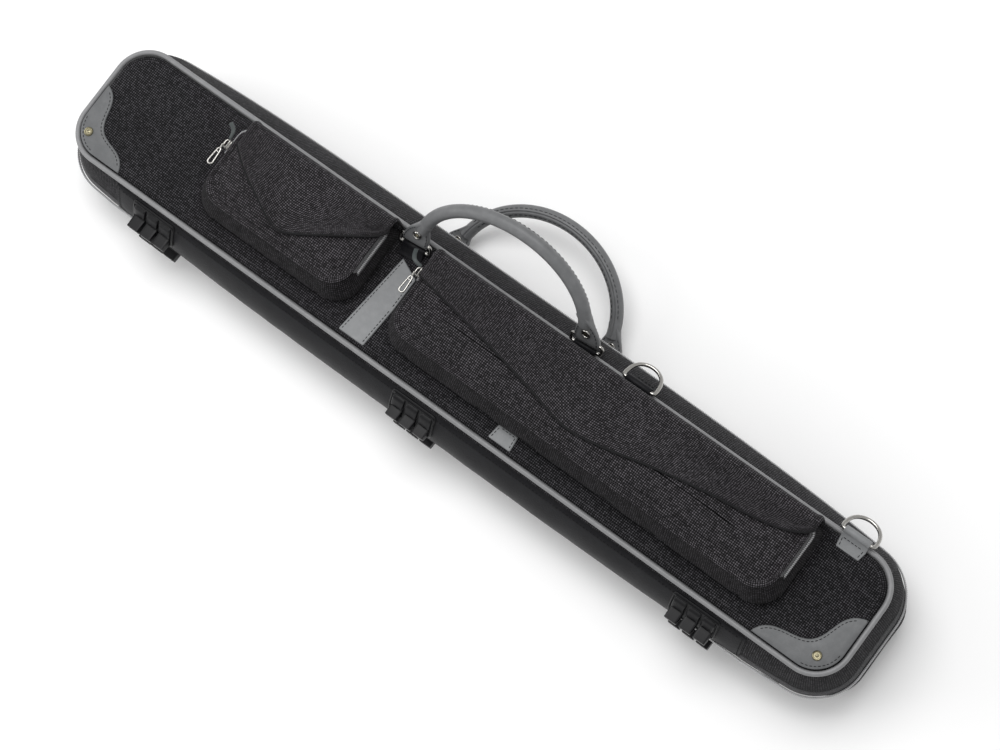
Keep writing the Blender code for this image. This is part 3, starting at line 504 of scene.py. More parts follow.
def mound(piece, outline, profile, place, slot=0, rounds=0):
    """A raised shape: outline inset by each step of the profile at its height, then closed on top."""
    rows = []
    for inset, rise in profile:
        rows.append([place(p.x, p.y, rise) for p in inset_outline(outline, inset)])
    if rounds:
        inset, rise = profile[-1]
        last = inset_outline(outline, inset)
        centre = sum(last, Vector()) / len(last)
        for k in range(1, rounds + 1):
            rows.append([place(p.x, p.y, rise) for p in (q.lerp(centre, k / rounds) for q in last)])
    piece.grid(rows, slot, wrap_columns=True)
    if not rounds:
        piece.cap(rows[-1], slot)
    piece.cap(rows[0], slot)


def lathe(piece, profile, place, sides=20, slot=0):
    """A turned shape: radius and height pairs round the Z axis of place."""
    rows = []
    for radius, rise in profile:
        turns = [2 * math.pi * k / sides for k in range(sides)]
        rows.append([place @ Vector((radius * math.cos(t), radius * math.sin(t), rise)) for t in turns])
    piece.grid(rows, slot, wrap_columns=True)
    piece.cap(rows[0], slot)
    piece.cap(rows[-1], slot)


def waver(point, scale, amount):
    return noise.noise(point / scale) * amount


# ---------------------------------------------------------------- the case's walls


def long_fullness(x):
    reach = min(1.0, abs(x) / (HALF_LENGTH - CORNER_RADIUS))
    return LONG_FULLNESS_ENDS + (LONG_FULLNESS_MIDDLE - LONG_FULLNESS_ENDS) * (1 - reach**4)


def wall_offset(depth, full):
    """How far the wall is outside the seam line, at a depth below its panel."""
    if depth <= BEVEL_DEPTH:
        return PANEL_INSET + (WALL_START_INSET - PANEL_INSET) * depth / BEVEL_DEPTH
    turn = math.pi / 2 * (depth - BEVEL_DEPTH) / (MIDDLE - BEVEL_DEPTH)
    return WALL_START_INSET + (full - WALL_START_INSET) * math.sin(turn)


def height(depth, front):
    return DEPTH - depth if front else depth


def corner_stations(centre_x, centre_y, first, full_first, full_last, steps=14):
    stations = []
    for k in range(steps + 1):
        angle = math.radians(first + 90 * k / steps)
        outward = Vector((math.cos(angle), math.sin(angle), 0.0))
        full = full_first + (full_last - full_first) * k / steps
        stations.append((Vector((centre_x, centre_y, 0.0)) + CORNER_RADIUS * outward, outward, full))
    return stations


def outline_stations(long_steps=130, end_steps=7):
    """Stations anticlockwise round the case: a point on the seam line, outward and the fullness."""
    x, y = HALF_LENGTH - CORNER_RADIUS, HALF_HEIGHT - CORNER_RADIUS
    stations = []
    quarters = ((1, -1, 270), (1, 1, 0), (-1, 1, 90), (-1, -1, 180))
    for side_x, side_y, first in quarters:
        full_first = LONG_FULLNESS_ENDS if first in (90, 270) else END_FULLNESS
        full_last = END_FULLNESS if first in (90, 270) else LONG_FULLNESS_ENDS
        stations += corner_stations(side_x * x, side_y * y, first, full_first, full_last)
        if first in (270, 90):
            for k in range(1, end_steps):
                at = side_x * (-y + 2 * y * k / end_steps)
                place = Vector((side_x * HALF_LENGTH, at, 0.0))
                stations.append((place, Vector((side_x, 0.0, 0.0)), END_FULLNESS))
        else:
            for k in range(1, long_steps):
                at = side_y * (x - 2 * x * k / long_steps)
                place = Vector((at, side_y * HALF_HEIGHT, 0.0))
                stations.append((place, Vector((0.0, side_y, 0.0)), long_fullness(at)))
    return stations


OUTLINE = outline_stations()


def fold_station(x):
    return Vector((x, -HALF_HEIGHT, 0.0)), Vector((0.0, -1.0, 0.0)), long_fullness(x)


def rear_bulge(outward, depth):
    """How much further out the rear half's ends bulge than the front half's."""
    if not BEVEL_DEPTH < depth < REAR_BULGE_DEPTH:
        return 0.0
    part = (depth - BEVEL_DEPTH) / (REAR_BULGE_DEPTH - BEVEL_DEPTH)
    return REAR_END_BULGE * outward.x**2 * math.sin(math.pi * part)


def wall_point(station, depth, extra, front):
    base, outward, full = station
    bulge = 0.0 if front else rear_bulge(outward, depth)
    place = base + outward * (wall_offset(depth, full) + bulge + extra)
    return Vector((place.x, place.y, height(depth, front)))


def on_fold(x, depth, extra, front):
    return wall_point(fold_station(x), depth, extra, front)


def edge_ring(offset, depth, front):
    rows = []
    for base, outward, _ in OUTLINE:
        place = base + outward * offset
        rows.append(Vector((place.x, place.y, height(depth, front))))
    return rows


def medial(point):
    """The nearest point of the panel's middle line."""
    reach = HALF_LENGTH - HALF_HEIGHT
    return Vector((max(-reach, min(reach, point.x)), 0.0, point.z))


# The panel's rings from its middle line to its edge, and the roll of its cloth down into the piping's seam.
PANEL_EDGE = -0.0085
PANEL_SHARES = (1.0, 0.85, 0.7, 0.55, 0.42, 0.30, 0.20, 0.12, 0.06, 0.0)
PANEL_ROLL = (
    (PANEL_EDGE, 0.0), (-0.0062, 0.0001), (-0.0046, 0.0007), (-0.0034, 0.0018), (-0.0028, 0.0034),
    (-0.0026, 0.0050),
)
REBATE_FLOOR = -ZIP_REBATE - 0.0004
LINING_LEVELS = (
    (MIDDLE - 0.0006, -0.0050), (0.036, -0.0052), (0.026, -0.0052), (0.016, -0.0052), (0.008, -0.0056),
)


def body_of(front):
    return "lid" if front else "base"


def make_case_half(front):
    """Panel, padded wall and lined inside of one half, as one sewn shell."""
    word = "front" if front else "rear"
    piece = Piece(word + "_case", BODY_CLOTH, LINING)
    edge = edge_ring(PANEL_EDGE, 0.0, front)
    panel = []
    for share in PANEL_SHARES:
        row = []
        for point in edge:
            at = point.lerp(medial(point), share)
            if front:
                at.z += waver(at, 0.028, 0.00022) - 0.00012
            row.append(at)
        panel.append(row)
    piece.grid(panel, 0, flat=True, wrap_columns=True)
    piece.grid([edge_ring(offset, depth, front) for offset, depth in PANEL_ROLL], 0, wrap_columns=True)
    piece.grid(wall_rows(front), 0, wrap_columns=True)
    piece.grid(lining_rows(front), 1, wrap_columns=True)
    obj = piece.finish(body_of(front), word + "_shell", slot_name="woven_fabric")
    return obj


def wall_rows(front):
    """The wall's cloth from under the piping to its hem at the zip, gathered a little by its seams."""
    depths = [0.0050 + 0.0012 * k for k in range(5)] + [0.0110 + 0.0027 * k for k in range(1, 11)]
    hem = MIDDLE - ZIP_BAND - 0.0003
    depths = [d for d in depths if d < hem - 0.003] + [hem - 0.0028, hem - 0.0012, hem - 0.0002]
    rows = []
    for level, depth in enumerate(depths):
        row = []
        for i, station in enumerate(OUTLINE):
            point = wall_point(station, max(depth, BEVEL_DEPTH), 0.0, front)
            point.z = height(depth, front)
            seam = math.exp(-(depth - 0.006) / 0.006)
            pucker = seam * 0.00035 * math.sin(i * 1.9 + 2.0 * noise.noise(point * 40))
            soft = waver(point + Vector((0.0, 0.0, 3.0)), 0.035, 0.0007) * math.sin(math.pi * depth / MIDDLE)
            drop = 0.0006 if level == len(depths) - 1 else 0.0
            row.append(point + station[1] * (pucker + soft - drop - (0.0012 if level == 0 else 0.0)))
        rows.append(row)
    tuck = [wall_point(station, hem, REBATE_FLOOR, front) for station in OUTLINE]
    floor = [wall_point(station, MIDDLE - 0.0004, REBATE_FLOOR, front) for station in OUTLINE]
    return rows + [tuck, floor]


def lining_rows(front):
    rows = [[wall_point(station, MIDDLE - 0.0004, REBATE_FLOOR, front) for station in OUTLINE]]
    for depth, extra in LINING_LEVELS:
        rows.append([wall_point(station, depth, extra, front) for station in OUTLINE])
    bottom = rows[-1]
    crown = Vector((0, 0, 0.002 if front else -0.002))
    for share in (0.5, 1.0):
        rows.append([p.lerp(medial(p), share) + crown * share for p in bottom])
    return rows


def make_piping(front):
    """Vinyl drawn over a cord, with its sewing flange tucked between panel and wall."""
    word = "front" if front else "rear"
    depth = FRONT_PIPING_DEPTH if front else REAR_PIPING_DEPTH
    radius = PIPING_RADIUS if front else REAR_PIPING_RADIUS
    path = [Vector((base.x, base.y, height(depth, front))) for base, _, _ in OUTLINE]
    piece = Piece(word + "_piping_cord", PIPING_SKIN)

    def uneven(i):
        return radius * SLIMMER_PIPING * (1 + 0.03 * noise.noise(path[i] * 60))

    sweep(piece, path, uneven, Vector((0, 0, 1)), 14, closed=True)
    inner = [wall_point(station, BEVEL_DEPTH, -0.004, front) for station in OUTLINE]
    outer = [p + station[1] * 0.0002 for p, station in zip(path, OUTLINE)]
    piece.grid([outer, inner], 0, wrap_columns=True)
    return piece.finish(body_of(front), word + "_piping", slot_name="piping")


FOLD_DEPTHS = (
    FOLD_START, 0.0128, 0.0140, 0.0170, 0.0205, 0.0240, 0.0275, 0.0310, 0.0345, 0.0380, 0.0415, 0.0435,
    0.0455, 0.0470,
)
FOLD_COLUMNS = 112


def fold_edge_share(x, depth):
    """How near its full thickness the cover is: it thins towards its sewn edges."""
    left, right = FOLD_ENDS
    return min(1.0, (depth - FOLD_START) / 0.0012, (x - left) / 0.0015 + 0.2, (right - x) / 0.0015 + 0.2)


def make_fold_cover():
    """The smooth panel over the fold: one sheet, sewn to both halves and bending between them."""
    piece = Piece("fold_cover", SMOOTH_PANEL, BLACK_THREAD)
    left, right = FOLD_ENDS
    xs = [left + (right - left) * k / FOLD_COLUMNS for k in range(FOLD_COLUMNS + 1)]
    extra = FOLD_EXTRA + FOLD_THICKNESS
    rows = []
    for front, levels in ((True, FOLD_DEPTHS), (False, (MIDDLE,) + FOLD_DEPTHS[::-1])):
        for depth in levels:
            row = []
            for x in xs:
                point = on_fold(x, depth, extra * (0.45 + 0.55 * fold_edge_share(x, depth)), front)
                point.y += waver(point, 0.020, 0.00030)
                row.append(point)
            rows.append(row)
    piece.grid(rows)
    for row, front in ((rows[0], True), (rows[-1], False)):
        piece.grid([row, [on_fold(x, FOLD_START, -0.0004, front) for x in xs]])
    for front in (True, False):
        path = [on_fold(x, FOLD_START + 0.0024, extra + 0.0001, front) for x in xs[1:-1]]
        stitch_run(piece, path, Vector((0, -1, 0)), 1)
    for x in (left + 0.0026, right - 0.0026):
        path = [on_fold(x, depth, extra + 0.0001, True) for depth in FOLD_DEPTHS[2:-1]]
        stitch_run(piece, path, Vector((0, -1, 0)), 1)
    obj = piece.finish(None, slot_name="smooth_panel")
    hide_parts("front_fold_panel", "rear_fold_panel")
    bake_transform(obj)


# ---------------------------------------------------------------- feet


FOOT_START, FOOT_END = 0.0125, 0.0365
FOOT_EDGE = 0.0022
PAD_EDGE = 0.0034
PAD_TOP = 0.0042
PAD_GROOVE = 0.0013
PLATE_PROFILE = ((0.0, 0.0), (0.0, 0.0009), (0.0004, 0.0013), (0.0010, 0.0014))
PAD_PROFILE = ((0.0, 0.0008), (0.0, 0.0030), (0.00035, 0.0038), (0.0011, PAD_TOP))


def foot_rectangle(x0, x1, inset, radius, step=0.0012):
    """The foot's outline, moved in on all sides, as X and depth."""
    return depth_rectangle(x0 + inset, x1 - inset, FOOT_START + inset, FOOT_END - inset, radius, step)


def depth_rectangle(a0, a1, d0, d1, radius, step=0.0012):
    return round_outline(((a0, d0), (a1, d0), (a1, d1), (a0, d1)), radius, step)


def make_foot(word, label):
    """A moulded foot: a base bent round the wall, a ridge round it, and six chamfered pads."""
    node = f"{word}_foot_{label}"
    low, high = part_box(node)
    front = word == "front"
    x0, x1 = low.x, high.x
    rest_y = low.y
    base = FOLD_EXTRA + FOLD_THICKNESS + 0.0003
    piece = Piece(node + "_moulding", FOOT_PLASTIC)

    def place(x, depth, rise):
        point = on_fold(x, depth, base + rise, front)
        if rise > PAD_EDGE and depth > (FOOT_START + FOOT_END) / 2:
            point.y = rest_y + 0.0006 * (PAD_TOP - rise) / (PAD_TOP - PAD_EDGE)
        return point

    mound(piece, foot_rectangle(x0, x1, 0.0, 0.0024), PLATE_PROFILE, place, rounds=3)
    inner = foot_rectangle(x0, x1, FOOT_EDGE, 0.0016)
    ridge = [place(p.x, p.y, 0.0013) for p in foot_rectangle(x0, x1, FOOT_EDGE / 2, 0.002)]
    sweep(piece, ridge, 0.00095, Vector((0, -1, 0)), 8, closed=True)
    first, last = min(p.x for p in inner), max(p.x for p in inner)
    top, bottom = FOOT_START + FOOT_EDGE, FOOT_END - FOOT_EDGE + 0.0006
    width = (last - first - 2 * PAD_GROOVE) / 3
    tall = (bottom - top - PAD_GROOVE) / 2
    for column in range(3):
        for row in range(2):
            a0 = first + column * (width + PAD_GROOVE)
            d0 = top + row * (tall + PAD_GROOVE)
            pad = depth_rectangle(a0 + 0.0004, a0 + width - 0.0004, d0 + 0.0003, d0 + tall, 0.0012, 0.0009)
            mound(piece, pad, PAD_PROFILE, place, rounds=2)
    return piece.finish(body_of(front), node, slot_name="foot_plastic", sharp=40.0)


# ---------------------------------------------------------------- main zip


TOOTH_PITCH = 0.0016
COIL_OUT = 0.0036
ZIP_TAPE = (
    (MIDDLE - ZIP_BAND + 0.0001, -0.0012), (MIDDLE - 0.0039, 0.0008), (MIDDLE - 0.0024, 0.0022),
    (MIDDLE - 0.0003, 0.0024), (MIDDLE - 0.0003, -0.0010),
)
ZIP_SINK = 0.0034


def zip_stations():
    """Stations of the three sides that the zip runs round, from the fold's right end to its left end."""
    left, right = FOLD_ENDS
    first = next(i for i, s in enumerate(OUTLINE) if s[0].x > right + 0.002 and s[0].y < 0)
    rest = OUTLINE[first:] + OUTLINE[:first]
    chosen = [s for s in rest if not (s[0].y < -HALF_HEIGHT + 1e-6 and left - 0.002 < s[0].x < right + 0.002)]
    start = [fold_station(right + 0.002)] if chosen[0][0].x > right + 0.002 else []
    return start + chosen + [fold_station(left - 0.002)]


def tooth(piece, centre, along, across, up, size, slot):
    """One turn of the coil: a short rounded bar across the join."""
    half, rise, thick = size
    path = []
    for k in range(5):
        t = -1 + k / 2
        path.append(centre + across * half * t + up * rise * (1 - t * t))
    sweep(piece, path, thick, along, 5, slot)


def zip_sink(station):
    """How much deeper the zip lies on the handle side, where the two hems nearly cover it."""
    return ZIP_SINK * max(0.0, station[1].y)


def make_main_zip(front):
    word = "front" if front else "rear"
    stations = zip_stations()
    piece = Piece(word + "_zip", TAPE_CLOTH, COIL_NYLON)
    rows = []
    for depth, extra in ZIP_TAPE:
        rows.append([wall_point(s, depth, extra - zip_sink(s), front) for s in stations])
    piece.grid(rows)
    line = [wall_point(s, MIDDLE - 0.0005, COIL_OUT - zip_sink(s), front) for s in stations]
    smooth = resample(line, TOOTH_PITCH)
    sign = 1 if front else -1
    up = Vector((0, 0, 1))
    for i in range(1, len(smooth) - 1):
        along = (smooth[i + 1] - smooth[i - 1]).normalized()
        outward = along.cross(up)
        shift = along * TOOTH_PITCH * (0.25 * sign)
        centre = smooth[i] + shift + up * sign * 0.0006
        tooth(piece, centre, along, up, outward, (0.0013, 0.0010, 0.00052), 1)
    return piece.finish(body_of(front), word + "_zip_row", slot_name="zip")


# ---------------------------------------------------------------- leather on the front panel


LEATHER_RISE = 0.0016
PATCH_INSET = 0.0034
PATCH_ENDS = {-1.0: (0.3440, 0.0060), 1.0: (0.3300, 0.0090)}
PATCH_WAVE = {-1.0: 0.0085, 1.0: 0.0105}
PATCH_RIVETS = {"left": (-0.3895, -0.0375), "right": (0.3845, -0.0375)}
PATCH_SECTION = ((0.0, 0.0001), (0.0, 0.0009), (0.00025, 0.0013), (0.0008, LEATHER_RISE))
PATCH_STRIPS = 90
PATCH_SEAM = 0.0024
PLATE_SECTION = ((0.0, 0.0001), (0.0, 0.0009), (0.00025, 0.0013), (0.0008, LEATHER_RISE), (0.0013, 0.00155))
BAND_OUTLINE = (
    (-0.0905, 0.0310), (-0.0990, -0.0490), (-0.0725, -0.0490), (-0.0698, -0.0100), (-0.0698, 0.0220),
)
SMALL_TAB_OUTLINE = ((0.0610, -0.0493), (0.0838, -0.0493), (0.0825, -0.0353), (0.0628, -0.0353))
RIVET_RIM = (
    (0.0042, -0.0002), (0.0042, 0.0006), (0.0039, 0.0011), (0.0034, 0.0014), (0.0030, 0.0013),
    (0.0027, 0.0009),
)
RIVET_DISH = ((0.0027, 0.0009), (0.0020, 0.0008), (0.0013, 0.0010), (0.0007, 0.0013), (0.0002, 0.00135))


def on_panel(x, y, rise):
    return Vector((x, y, DEPTH + rise))


def leather_plate(node, outline, seams, corner=0.0012):
    """A flat leather piece with rounded edges, a faint step just inside them, and the stitches of its seams.
    """
    piece = Piece(node + "_cover", GREY_LEATHER, BLACK_THREAD)
    shape = round_outline([(p.x, p.y) for p in outline], corner, 0.0011)
    mound(piece, shape, PLATE_SECTION, on_panel)
    for seam in seams:
        stitch_run(piece, [on_panel(p.x, p.y, LEATHER_RISE) for p in seam], Vector((0, 0, 1)), 1)
    return piece.finish("lid", node, slot_name="grey_leather")


def wave_line(side, shift):
    """The patch's wavy inner edge, moved inwards over the leather by shift."""
    x, y = PATCH_ENDS[side]
    start = Vector((side * x, -HALF_HEIGHT + PATCH_INSET, 0.0))
    finish = Vector((side * (HALF_LENGTH - PATCH_INSET), y, 0.0))
    inward = Vector((-side, 1.0, 0.0)).normalized()
    points = []
    for k in range(41):
        part = k / 40
        bow = -PATCH_WAVE[side] * math.sin(math.pi * part) ** 0.8 * math.cos(2 * math.pi * (part - 0.5))
        points.append(start.lerp(finish, part) + inward * (bow - shift))
    return points


def evenly(points, count):
    """This many points at equal distances along a line."""
    marks = lengths(points, False)
    found, i = [], 0
    for k in range(count):
        goal = marks[-1] * k / (count - 1)
        while i < len(points) - 2 and marks[i + 1] < goal:
            i += 1
        part = (goal - marks[i]) / max(1e-9, marks[i + 1] - marks[i])
        found.append(points[i].lerp(points[i + 1], min(1.0, part)))
    return found


def corner_patch(label, side):
    """A leather corner: its outer edge follows the piping and its inner edge is a wave."""
    radius = CORNER_RADIUS - PATCH_INSET
    centre = Vector((side * (HALF_LENGTH - CORNER_RADIUS), -HALF_HEIGHT + CORNER_RADIUS, 0.0))
    wave = wave_line(side, 0.0)
    outline = [wave[-1]]
    for k in range(25):
        angle = math.radians(90 * k / 24)
        outline.append(centre + Vector((side * radius * math.cos(angle), -radius * math.sin(angle), 0.0)))
    outline.append(wave[0])
    piece = Piece(f"corner_patch_{label}_cover", PATCH_LEATHER, BLACK_THREAD)
    rows = []
    for outer, inner in zip(evenly(outline, PATCH_STRIPS), evenly(wave[::-1], PATCH_STRIPS)):
        across = inner - outer
        reach = across.length / 2
        along = across.normalized() if reach > 1e-6 else Vector((0.0, 0.0, 0.0))
        section = [(along * min(inset, reach), on_panel(0.0, 0.0, rise)) for inset, rise in PATCH_SECTION]
        row = [outer + inwards + level for inwards, level in section]
        row += [outer.lerp(inner, k / 6) + on_panel(0.0, 0.0, LEATHER_RISE) for k in (2, 3, 4)]
        row += [inner - inwards + level for inwards, level in section[::-1]]
        rows.append(row)
    piece.grid(rows, flat=True)
    arc = [centre + (p - centre) * (1 - 0.0022 / radius) for p in outline[2:-2]]
    for seam in (wave_line(side, PATCH_SEAM)[3:-3], arc):
        stitch_run(piece, [on_panel(p.x, p.y, LEATHER_RISE) for p in seam], Vector((0, 0, 1)), 1)
    piece.finish("lid", "corner_patch_" + label, slot_name="grey_leather")


def straight_seams(corners, pairs, inset):
    """Lines just inside two sides of a four-cornered piece."""
    middle = sum(corners, Vector()) / len(corners)
    seams = []
    for a, b in pairs:
        first, last = corners[a], corners[b]
        along = (last - first).normalized()
        across = Vector((-along.y, along.x, 0.0))
        if across.dot(middle - first) < 0:
            across = -across
        seams.append([first + across * inset + along * 0.0015, last + across * inset - along * 0.0015])
    return seams


def make_leather():
    corner_patch("left", -1.0)
    corner_patch("right", 1.0)
    band = [Vector((x, y, 0.0)) for x, y in BAND_OUTLINE]
    seams = straight_seams(band, ((0, 1), (2, 3), (3, 4)), 0.0022)
    leather_plate("leather_band", band, seams)
    tab = [Vector((x, y, 0.0)) for x, y in SMALL_TAB_OUTLINE]
    leather_plate("small_leather_tab", tab, straight_seams(tab, ((1, 2), (3, 0), (2, 3)), 0.0020))
    for label, (x, y) in PATCH_RIVETS.items():
        place = Matrix.Translation(on_panel(x, y, LEATHER_RISE))
        make_rivet("patch_rivet_" + label, "lid", place, RIVET_METAL)


def make_rivet(node, body, place, rim_metal=NICKEL):
    """A pressed rivet cap: a raised rim round a shallow dish with a small boss in it."""
    piece = Piece(node + "_cap", rim_metal, RIVET_METAL)
    lathe(piece, RIVET_RIM, place, 28)
    lathe(piece, RIVET_DISH, place, 28, 1)
    return piece.finish(body, node, slot_name="nickel", sharp=35.0)


# ---------------------------------------------------------------- pockets


POCKETS = {
    "small": {"x": (-0.2700, -0.1045), "y": (-0.0345, 0.0495), "height": 0.032},
    "large": {"x": (-0.0640, 0.3325), "y": (-0.0345, 0.0495), "height": 0.036},
}
POCKET_RADIUS = 0.024
POCKET_FOOT_SHARE = 1.45
ZIP_LEVEL = 0.73
ZIP_SPREAD = 0.12
MOUTH_HALF_WIDTH = 0.0026
MOUTH_END_MARGIN = 0.026
RIM = 0.86
SWELL = 0.0024
SWELL_PART = 0.62
SECOND_SEAM = 0.0062
WELT = (
    (0.826, -0.0022), (0.842, -0.0004), (0.862, 0.0014), (0.892, 0.0016), (0.912, 0.0006), (0.910, -0.0008),
    (0.868, -0.0022),
)
FRONT_STEPS = (
    0.0011, 0.0026, 0.0042, 0.0052, 0.0058, 0.0062, 0.0066, 0.0072, 0.0085, 0.0110, 0.0145, 0.0190, 0.0240,
)
GUSSET = ((0.0, 0.0, 0.0), (0.30, 0.0005, 0.0025), (0.60, 0.0025, 0.0060), (0.86, 0.0065, 0.0105))


def gusset_inset(part, top):
    for (l0, s0, t0), (l1, s1, t1) in zip(GUSSET, GUSSET[1:]):
        if part <= l1:
            share = (part - l0) / (l1 - l0)
            return (t0 + (t1 - t0) * share) if top else (s0 + (s1 - s0) * share)
    return GUSSET[-1][2 if top else 1]


def gusset_swell(point, part):
    """How far the gusset's cloth bulges out below the zip, on the foot side and the ends."""
    if part >= SWELL_PART:
        return 0.0
    away = max(0.0, min(1.0, (0.030 - point.y) / 0.016))
    return SWELL * away * math.sin(math.pi * part / SWELL_PART)


def pocket_ring(pocket, part, extra=0.0, steps=12, straight=0.0055):
    """The gusset's outline at a share of the height, anticlockwise from the right end's top corner."""
    side, top = gusset_inset(part, False) - extra, gusset_inset(part, True) - extra
    x0, x1 = pocket["x"][0] + side, pocket["x"][1] - side
    y0, y1 = pocket["y"][0] + POCKET_FOOT_SHARE * side, pocket["y"][1] - top
    low = max(0.006, POCKET_RADIUS - side * 0.5)
    high = max(0.004, 0.010 - side * 0.3)
    corners = (
        (x1 - high, y1 - high, 0, high), (x0 + high, y1 - high, 90, high),
        (x0 + low, y0 + low, 180, low), (x1 - low, y0 + low, 270, low),
    )
    level = DEPTH + part * pocket["height"]
    spans = (
        pocket["x"][1] - pocket["x"][0] - 0.02, 0.084 - 0.03,
        pocket["x"][1] - pocket["x"][0] - 0.04, 0.084 - 0.03,
    )
    points = []
    for n, (cx, cy, first, radius) in enumerate(corners):
        arc = []
        for k in range(steps + 1):
            angle = math.radians(first + 90 * k / steps)
            arc.append(Vector((cx + radius * math.cos(angle), cy + radius * math.sin(angle), level)))
        points += arc
        after = corners[(n + 1) % 4]
        angle = math.radians(after[2])
        target = Vector((after[0] + after[3] * math.cos(angle), after[1] + after[3] * math.sin(angle), level))
        count = max(3, round(spans[n] / straight))
        points += [arc[-1].lerp(target, k / count) for k in range(1, count)]
    for point in points:
        outward = point - pocket_middle(pocket, point)
        point += outward.normalized() * gusset_swell(point, part)
    return points


def front_rise(pocket, inward):
    """The front sheet's height share at a distance in from the rim, with its second seam pressed in."""
    share = min(1.0, max(0.0, inward / 0.016))
    seam = math.exp(-(((inward - SECOND_SEAM) / 0.0008) ** 2))
    return RIM + 0.01 + 0.085 * math.sin(math.pi / 2 * share) - 0.0009 * seam / pocket["height"]


def pocket_middle(pocket, point):
    """The nearest point of the pocket's middle line."""
    y0, y1 = pocket["y"]
    middle = (y0 + y1) / 2 - 0.002
    reach = (y1 - y0) / 2
    return Vector((max(pocket["x"][0] + reach, min(pocket["x"][1] - reach, point.x)), middle, point.z))


def settle(obj, pinned, pressure, frames, cap):
    """Fills a sewn piece out as cloth under light pressure, with its seams held and each move capped."""
    scene = bpy.context.scene
    held = obj.vertex_groups.new(name="held")
    for index, weight in enumerate(pinned):
        held.add([index], weight, "REPLACE")
    cloth = obj.modifiers.new("cloth", "CLOTH")
    settings = cloth.settings
    settings.quality = 5
    settings.mass = 0.25
    settings.tension_stiffness = settings.compression_stiffness = 12.0
    settings.shear_stiffness = 8.0
    settings.bending_stiffness = 0.8
    settings.air_damping = 3.0
    settings.use_pressure = True
    settings.uniform_pressure_force = pressure
    settings.vertex_group_mass = "held"
    settings.shrink_min = -0.012
    settings.effector_weights.gravity = 0.0
    cloth.collision_settings.use_collision = False
    cloth.point_cache.frame_start, cloth.point_cache.frame_end = 1, frames
    before = [v.co.copy() for v in obj.data.vertices]
    for frame_number in range(1, frames + 1):
        scene.frame_set(frame_number)
    settled = obj.evaluated_get(bpy.context.evaluated_depsgraph_get())
    after = [v.co.copy() for v in settled.data.vertices]
    obj.modifiers.remove(cloth)
    obj.vertex_groups.remove(held)
    scene.frame_set(1)
    for vertex, start, finish in zip(obj.data.vertices, before, after):
        move = finish - start
        if move.length > cap:
            move *= cap / move.length
        vertex.co = start + move


def soften(obj):
    """One level of subdivision, applied."""
    modifier = obj.modifiers.new("soft", "SUBSURF")
    modifier.levels = modifier.render_levels = 1
    graph = bpy.context.evaluated_depsgraph_get()
    data = bpy.data.meshes.new_from_object(obj.evaluated_get(graph))
    obj.modifiers.remove(modifier)
    obj.data = data


POCKET_PRESSURE = 0.9
POCKET_FRAMES = 14
POCKET_MOST_MOVE = 0.0016


def edge_distance(edge, co):
    """How far inside the rim's line a point is."""
    return min(math.hypot(p.x - co.x, p.y - co.y) for p in edge) if co.z > DEPTH else 0.0


def make_pocket(label):
    pocket = POCKETS[label]
    x0, x1 = pocket["x"]
    rise = pocket["height"]
    piece = Piece(label + "_pocket_cloth", POCKET_CLOTH, SHADED_GUSSET_CLOTH)
    zip_low, zip_high = ZIP_LEVEL - MOUTH_HALF_WIDTH / rise, ZIP_LEVEL + MOUTH_HALF_WIDTH / rise
    parts = [0.008, 0.07, 0.15, 0.24, 0.33, 0.42, 0.50, 0.57, zip_low, zip_high, 0.82]
    rows = [pocket_ring(pocket, part) for part in parts]
    rim = []
    for level, extra in WELT:
        row = pocket_ring(pocket, RIM, extra)
        for point in row:
            point.z = DEPTH + level * rise
        rim.append(row)
    edge = rim[-1]
    front = []
    for step in FRONT_STEPS + (None,):
        row = []
        for point in edge:
            centre = pocket_middle(pocket, point)
            share = 1.0 if step is None else min(0.96, step / (centre - point).length)
            at = point.lerp(centre, share)
            inward = (Vector((at.x, at.y, 0)) - Vector((point.x, point.y, 0))).length
            at.z = DEPTH + rise * front_rise(pocket, inward) + waver(at, 0.03, 0.0004)
            row.append(at)
        front.append(row)
    middle_low, middle_high = DEPTH + zip_low * rise, DEPTH + zip_high * rise

    def in_mouth(centre):
        inside = x0 + MOUTH_END_MARGIN < centre.x < x1 - MOUTH_END_MARGIN
        return inside and centre.y > 0.02 and middle_low < centre.z < middle_high

    # The gusset and the rim's lower rows take slot 1, the darker weave that paints the gusset's shade.
    piece.grid(rows + rim[:2], 1, wrap_columns=True, skip=in_mouth)
    piece.grid(rim[1:], 0, wrap_columns=True)
    piece.grid([edge] + front, 0, flat=True, wrap_columns=True)
    obj = piece.finish("lid", label + "_pocket", slot_name="pocket_fabric")
    held = []
    for vertex in obj.data.vertices:
        co = vertex.co
        inward = edge_distance(edge, co)
        seamed = co.z < DEPTH + 0.10 * rise or (co.z > DEPTH + 0.55 * rise and inward < 0.0075)
        held.append(1.0 if seamed else 0.0)
    settle(obj, held, POCKET_PRESSURE, POCKET_FRAMES, POCKET_MOST_MOVE)
    soften(obj)
    return obj


ZIP_LEVELS = (
    (ZIP_SPREAD, 0.0003), (0.085, 0.0003 + 0.0008), (0.030, 0.0003 + 0.0009), (0.012, 0.0003 + 0.0007),
)
ZIP_PARTING = 0.010
MOUTH_CLOSING = 0.010
POCKET_TOOTH = (0.0010, 0.0008, 0.00045)


def zip_run(label, part, extra):
    """The gusset's line at a share of its height, as far down each end as the zip goes."""
    pocket = POCKETS[label]
    left_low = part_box(label + "_pocket_slider")[0].y - 0.004
    right_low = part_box(label + "_pocket_zip")[0].y
    middle = (pocket["x"][0] + pocket["x"][1]) / 2
    ring = pocket_ring(pocket, part, extra, straight=0.004)
    points = [p for p in ring if p.y >= (left_low if p.x < middle else right_low)]
    split = max(range(len(points)), key=lambda i: (points[i] - points[i - 1]).length)
    return points[split:] + points[:split]


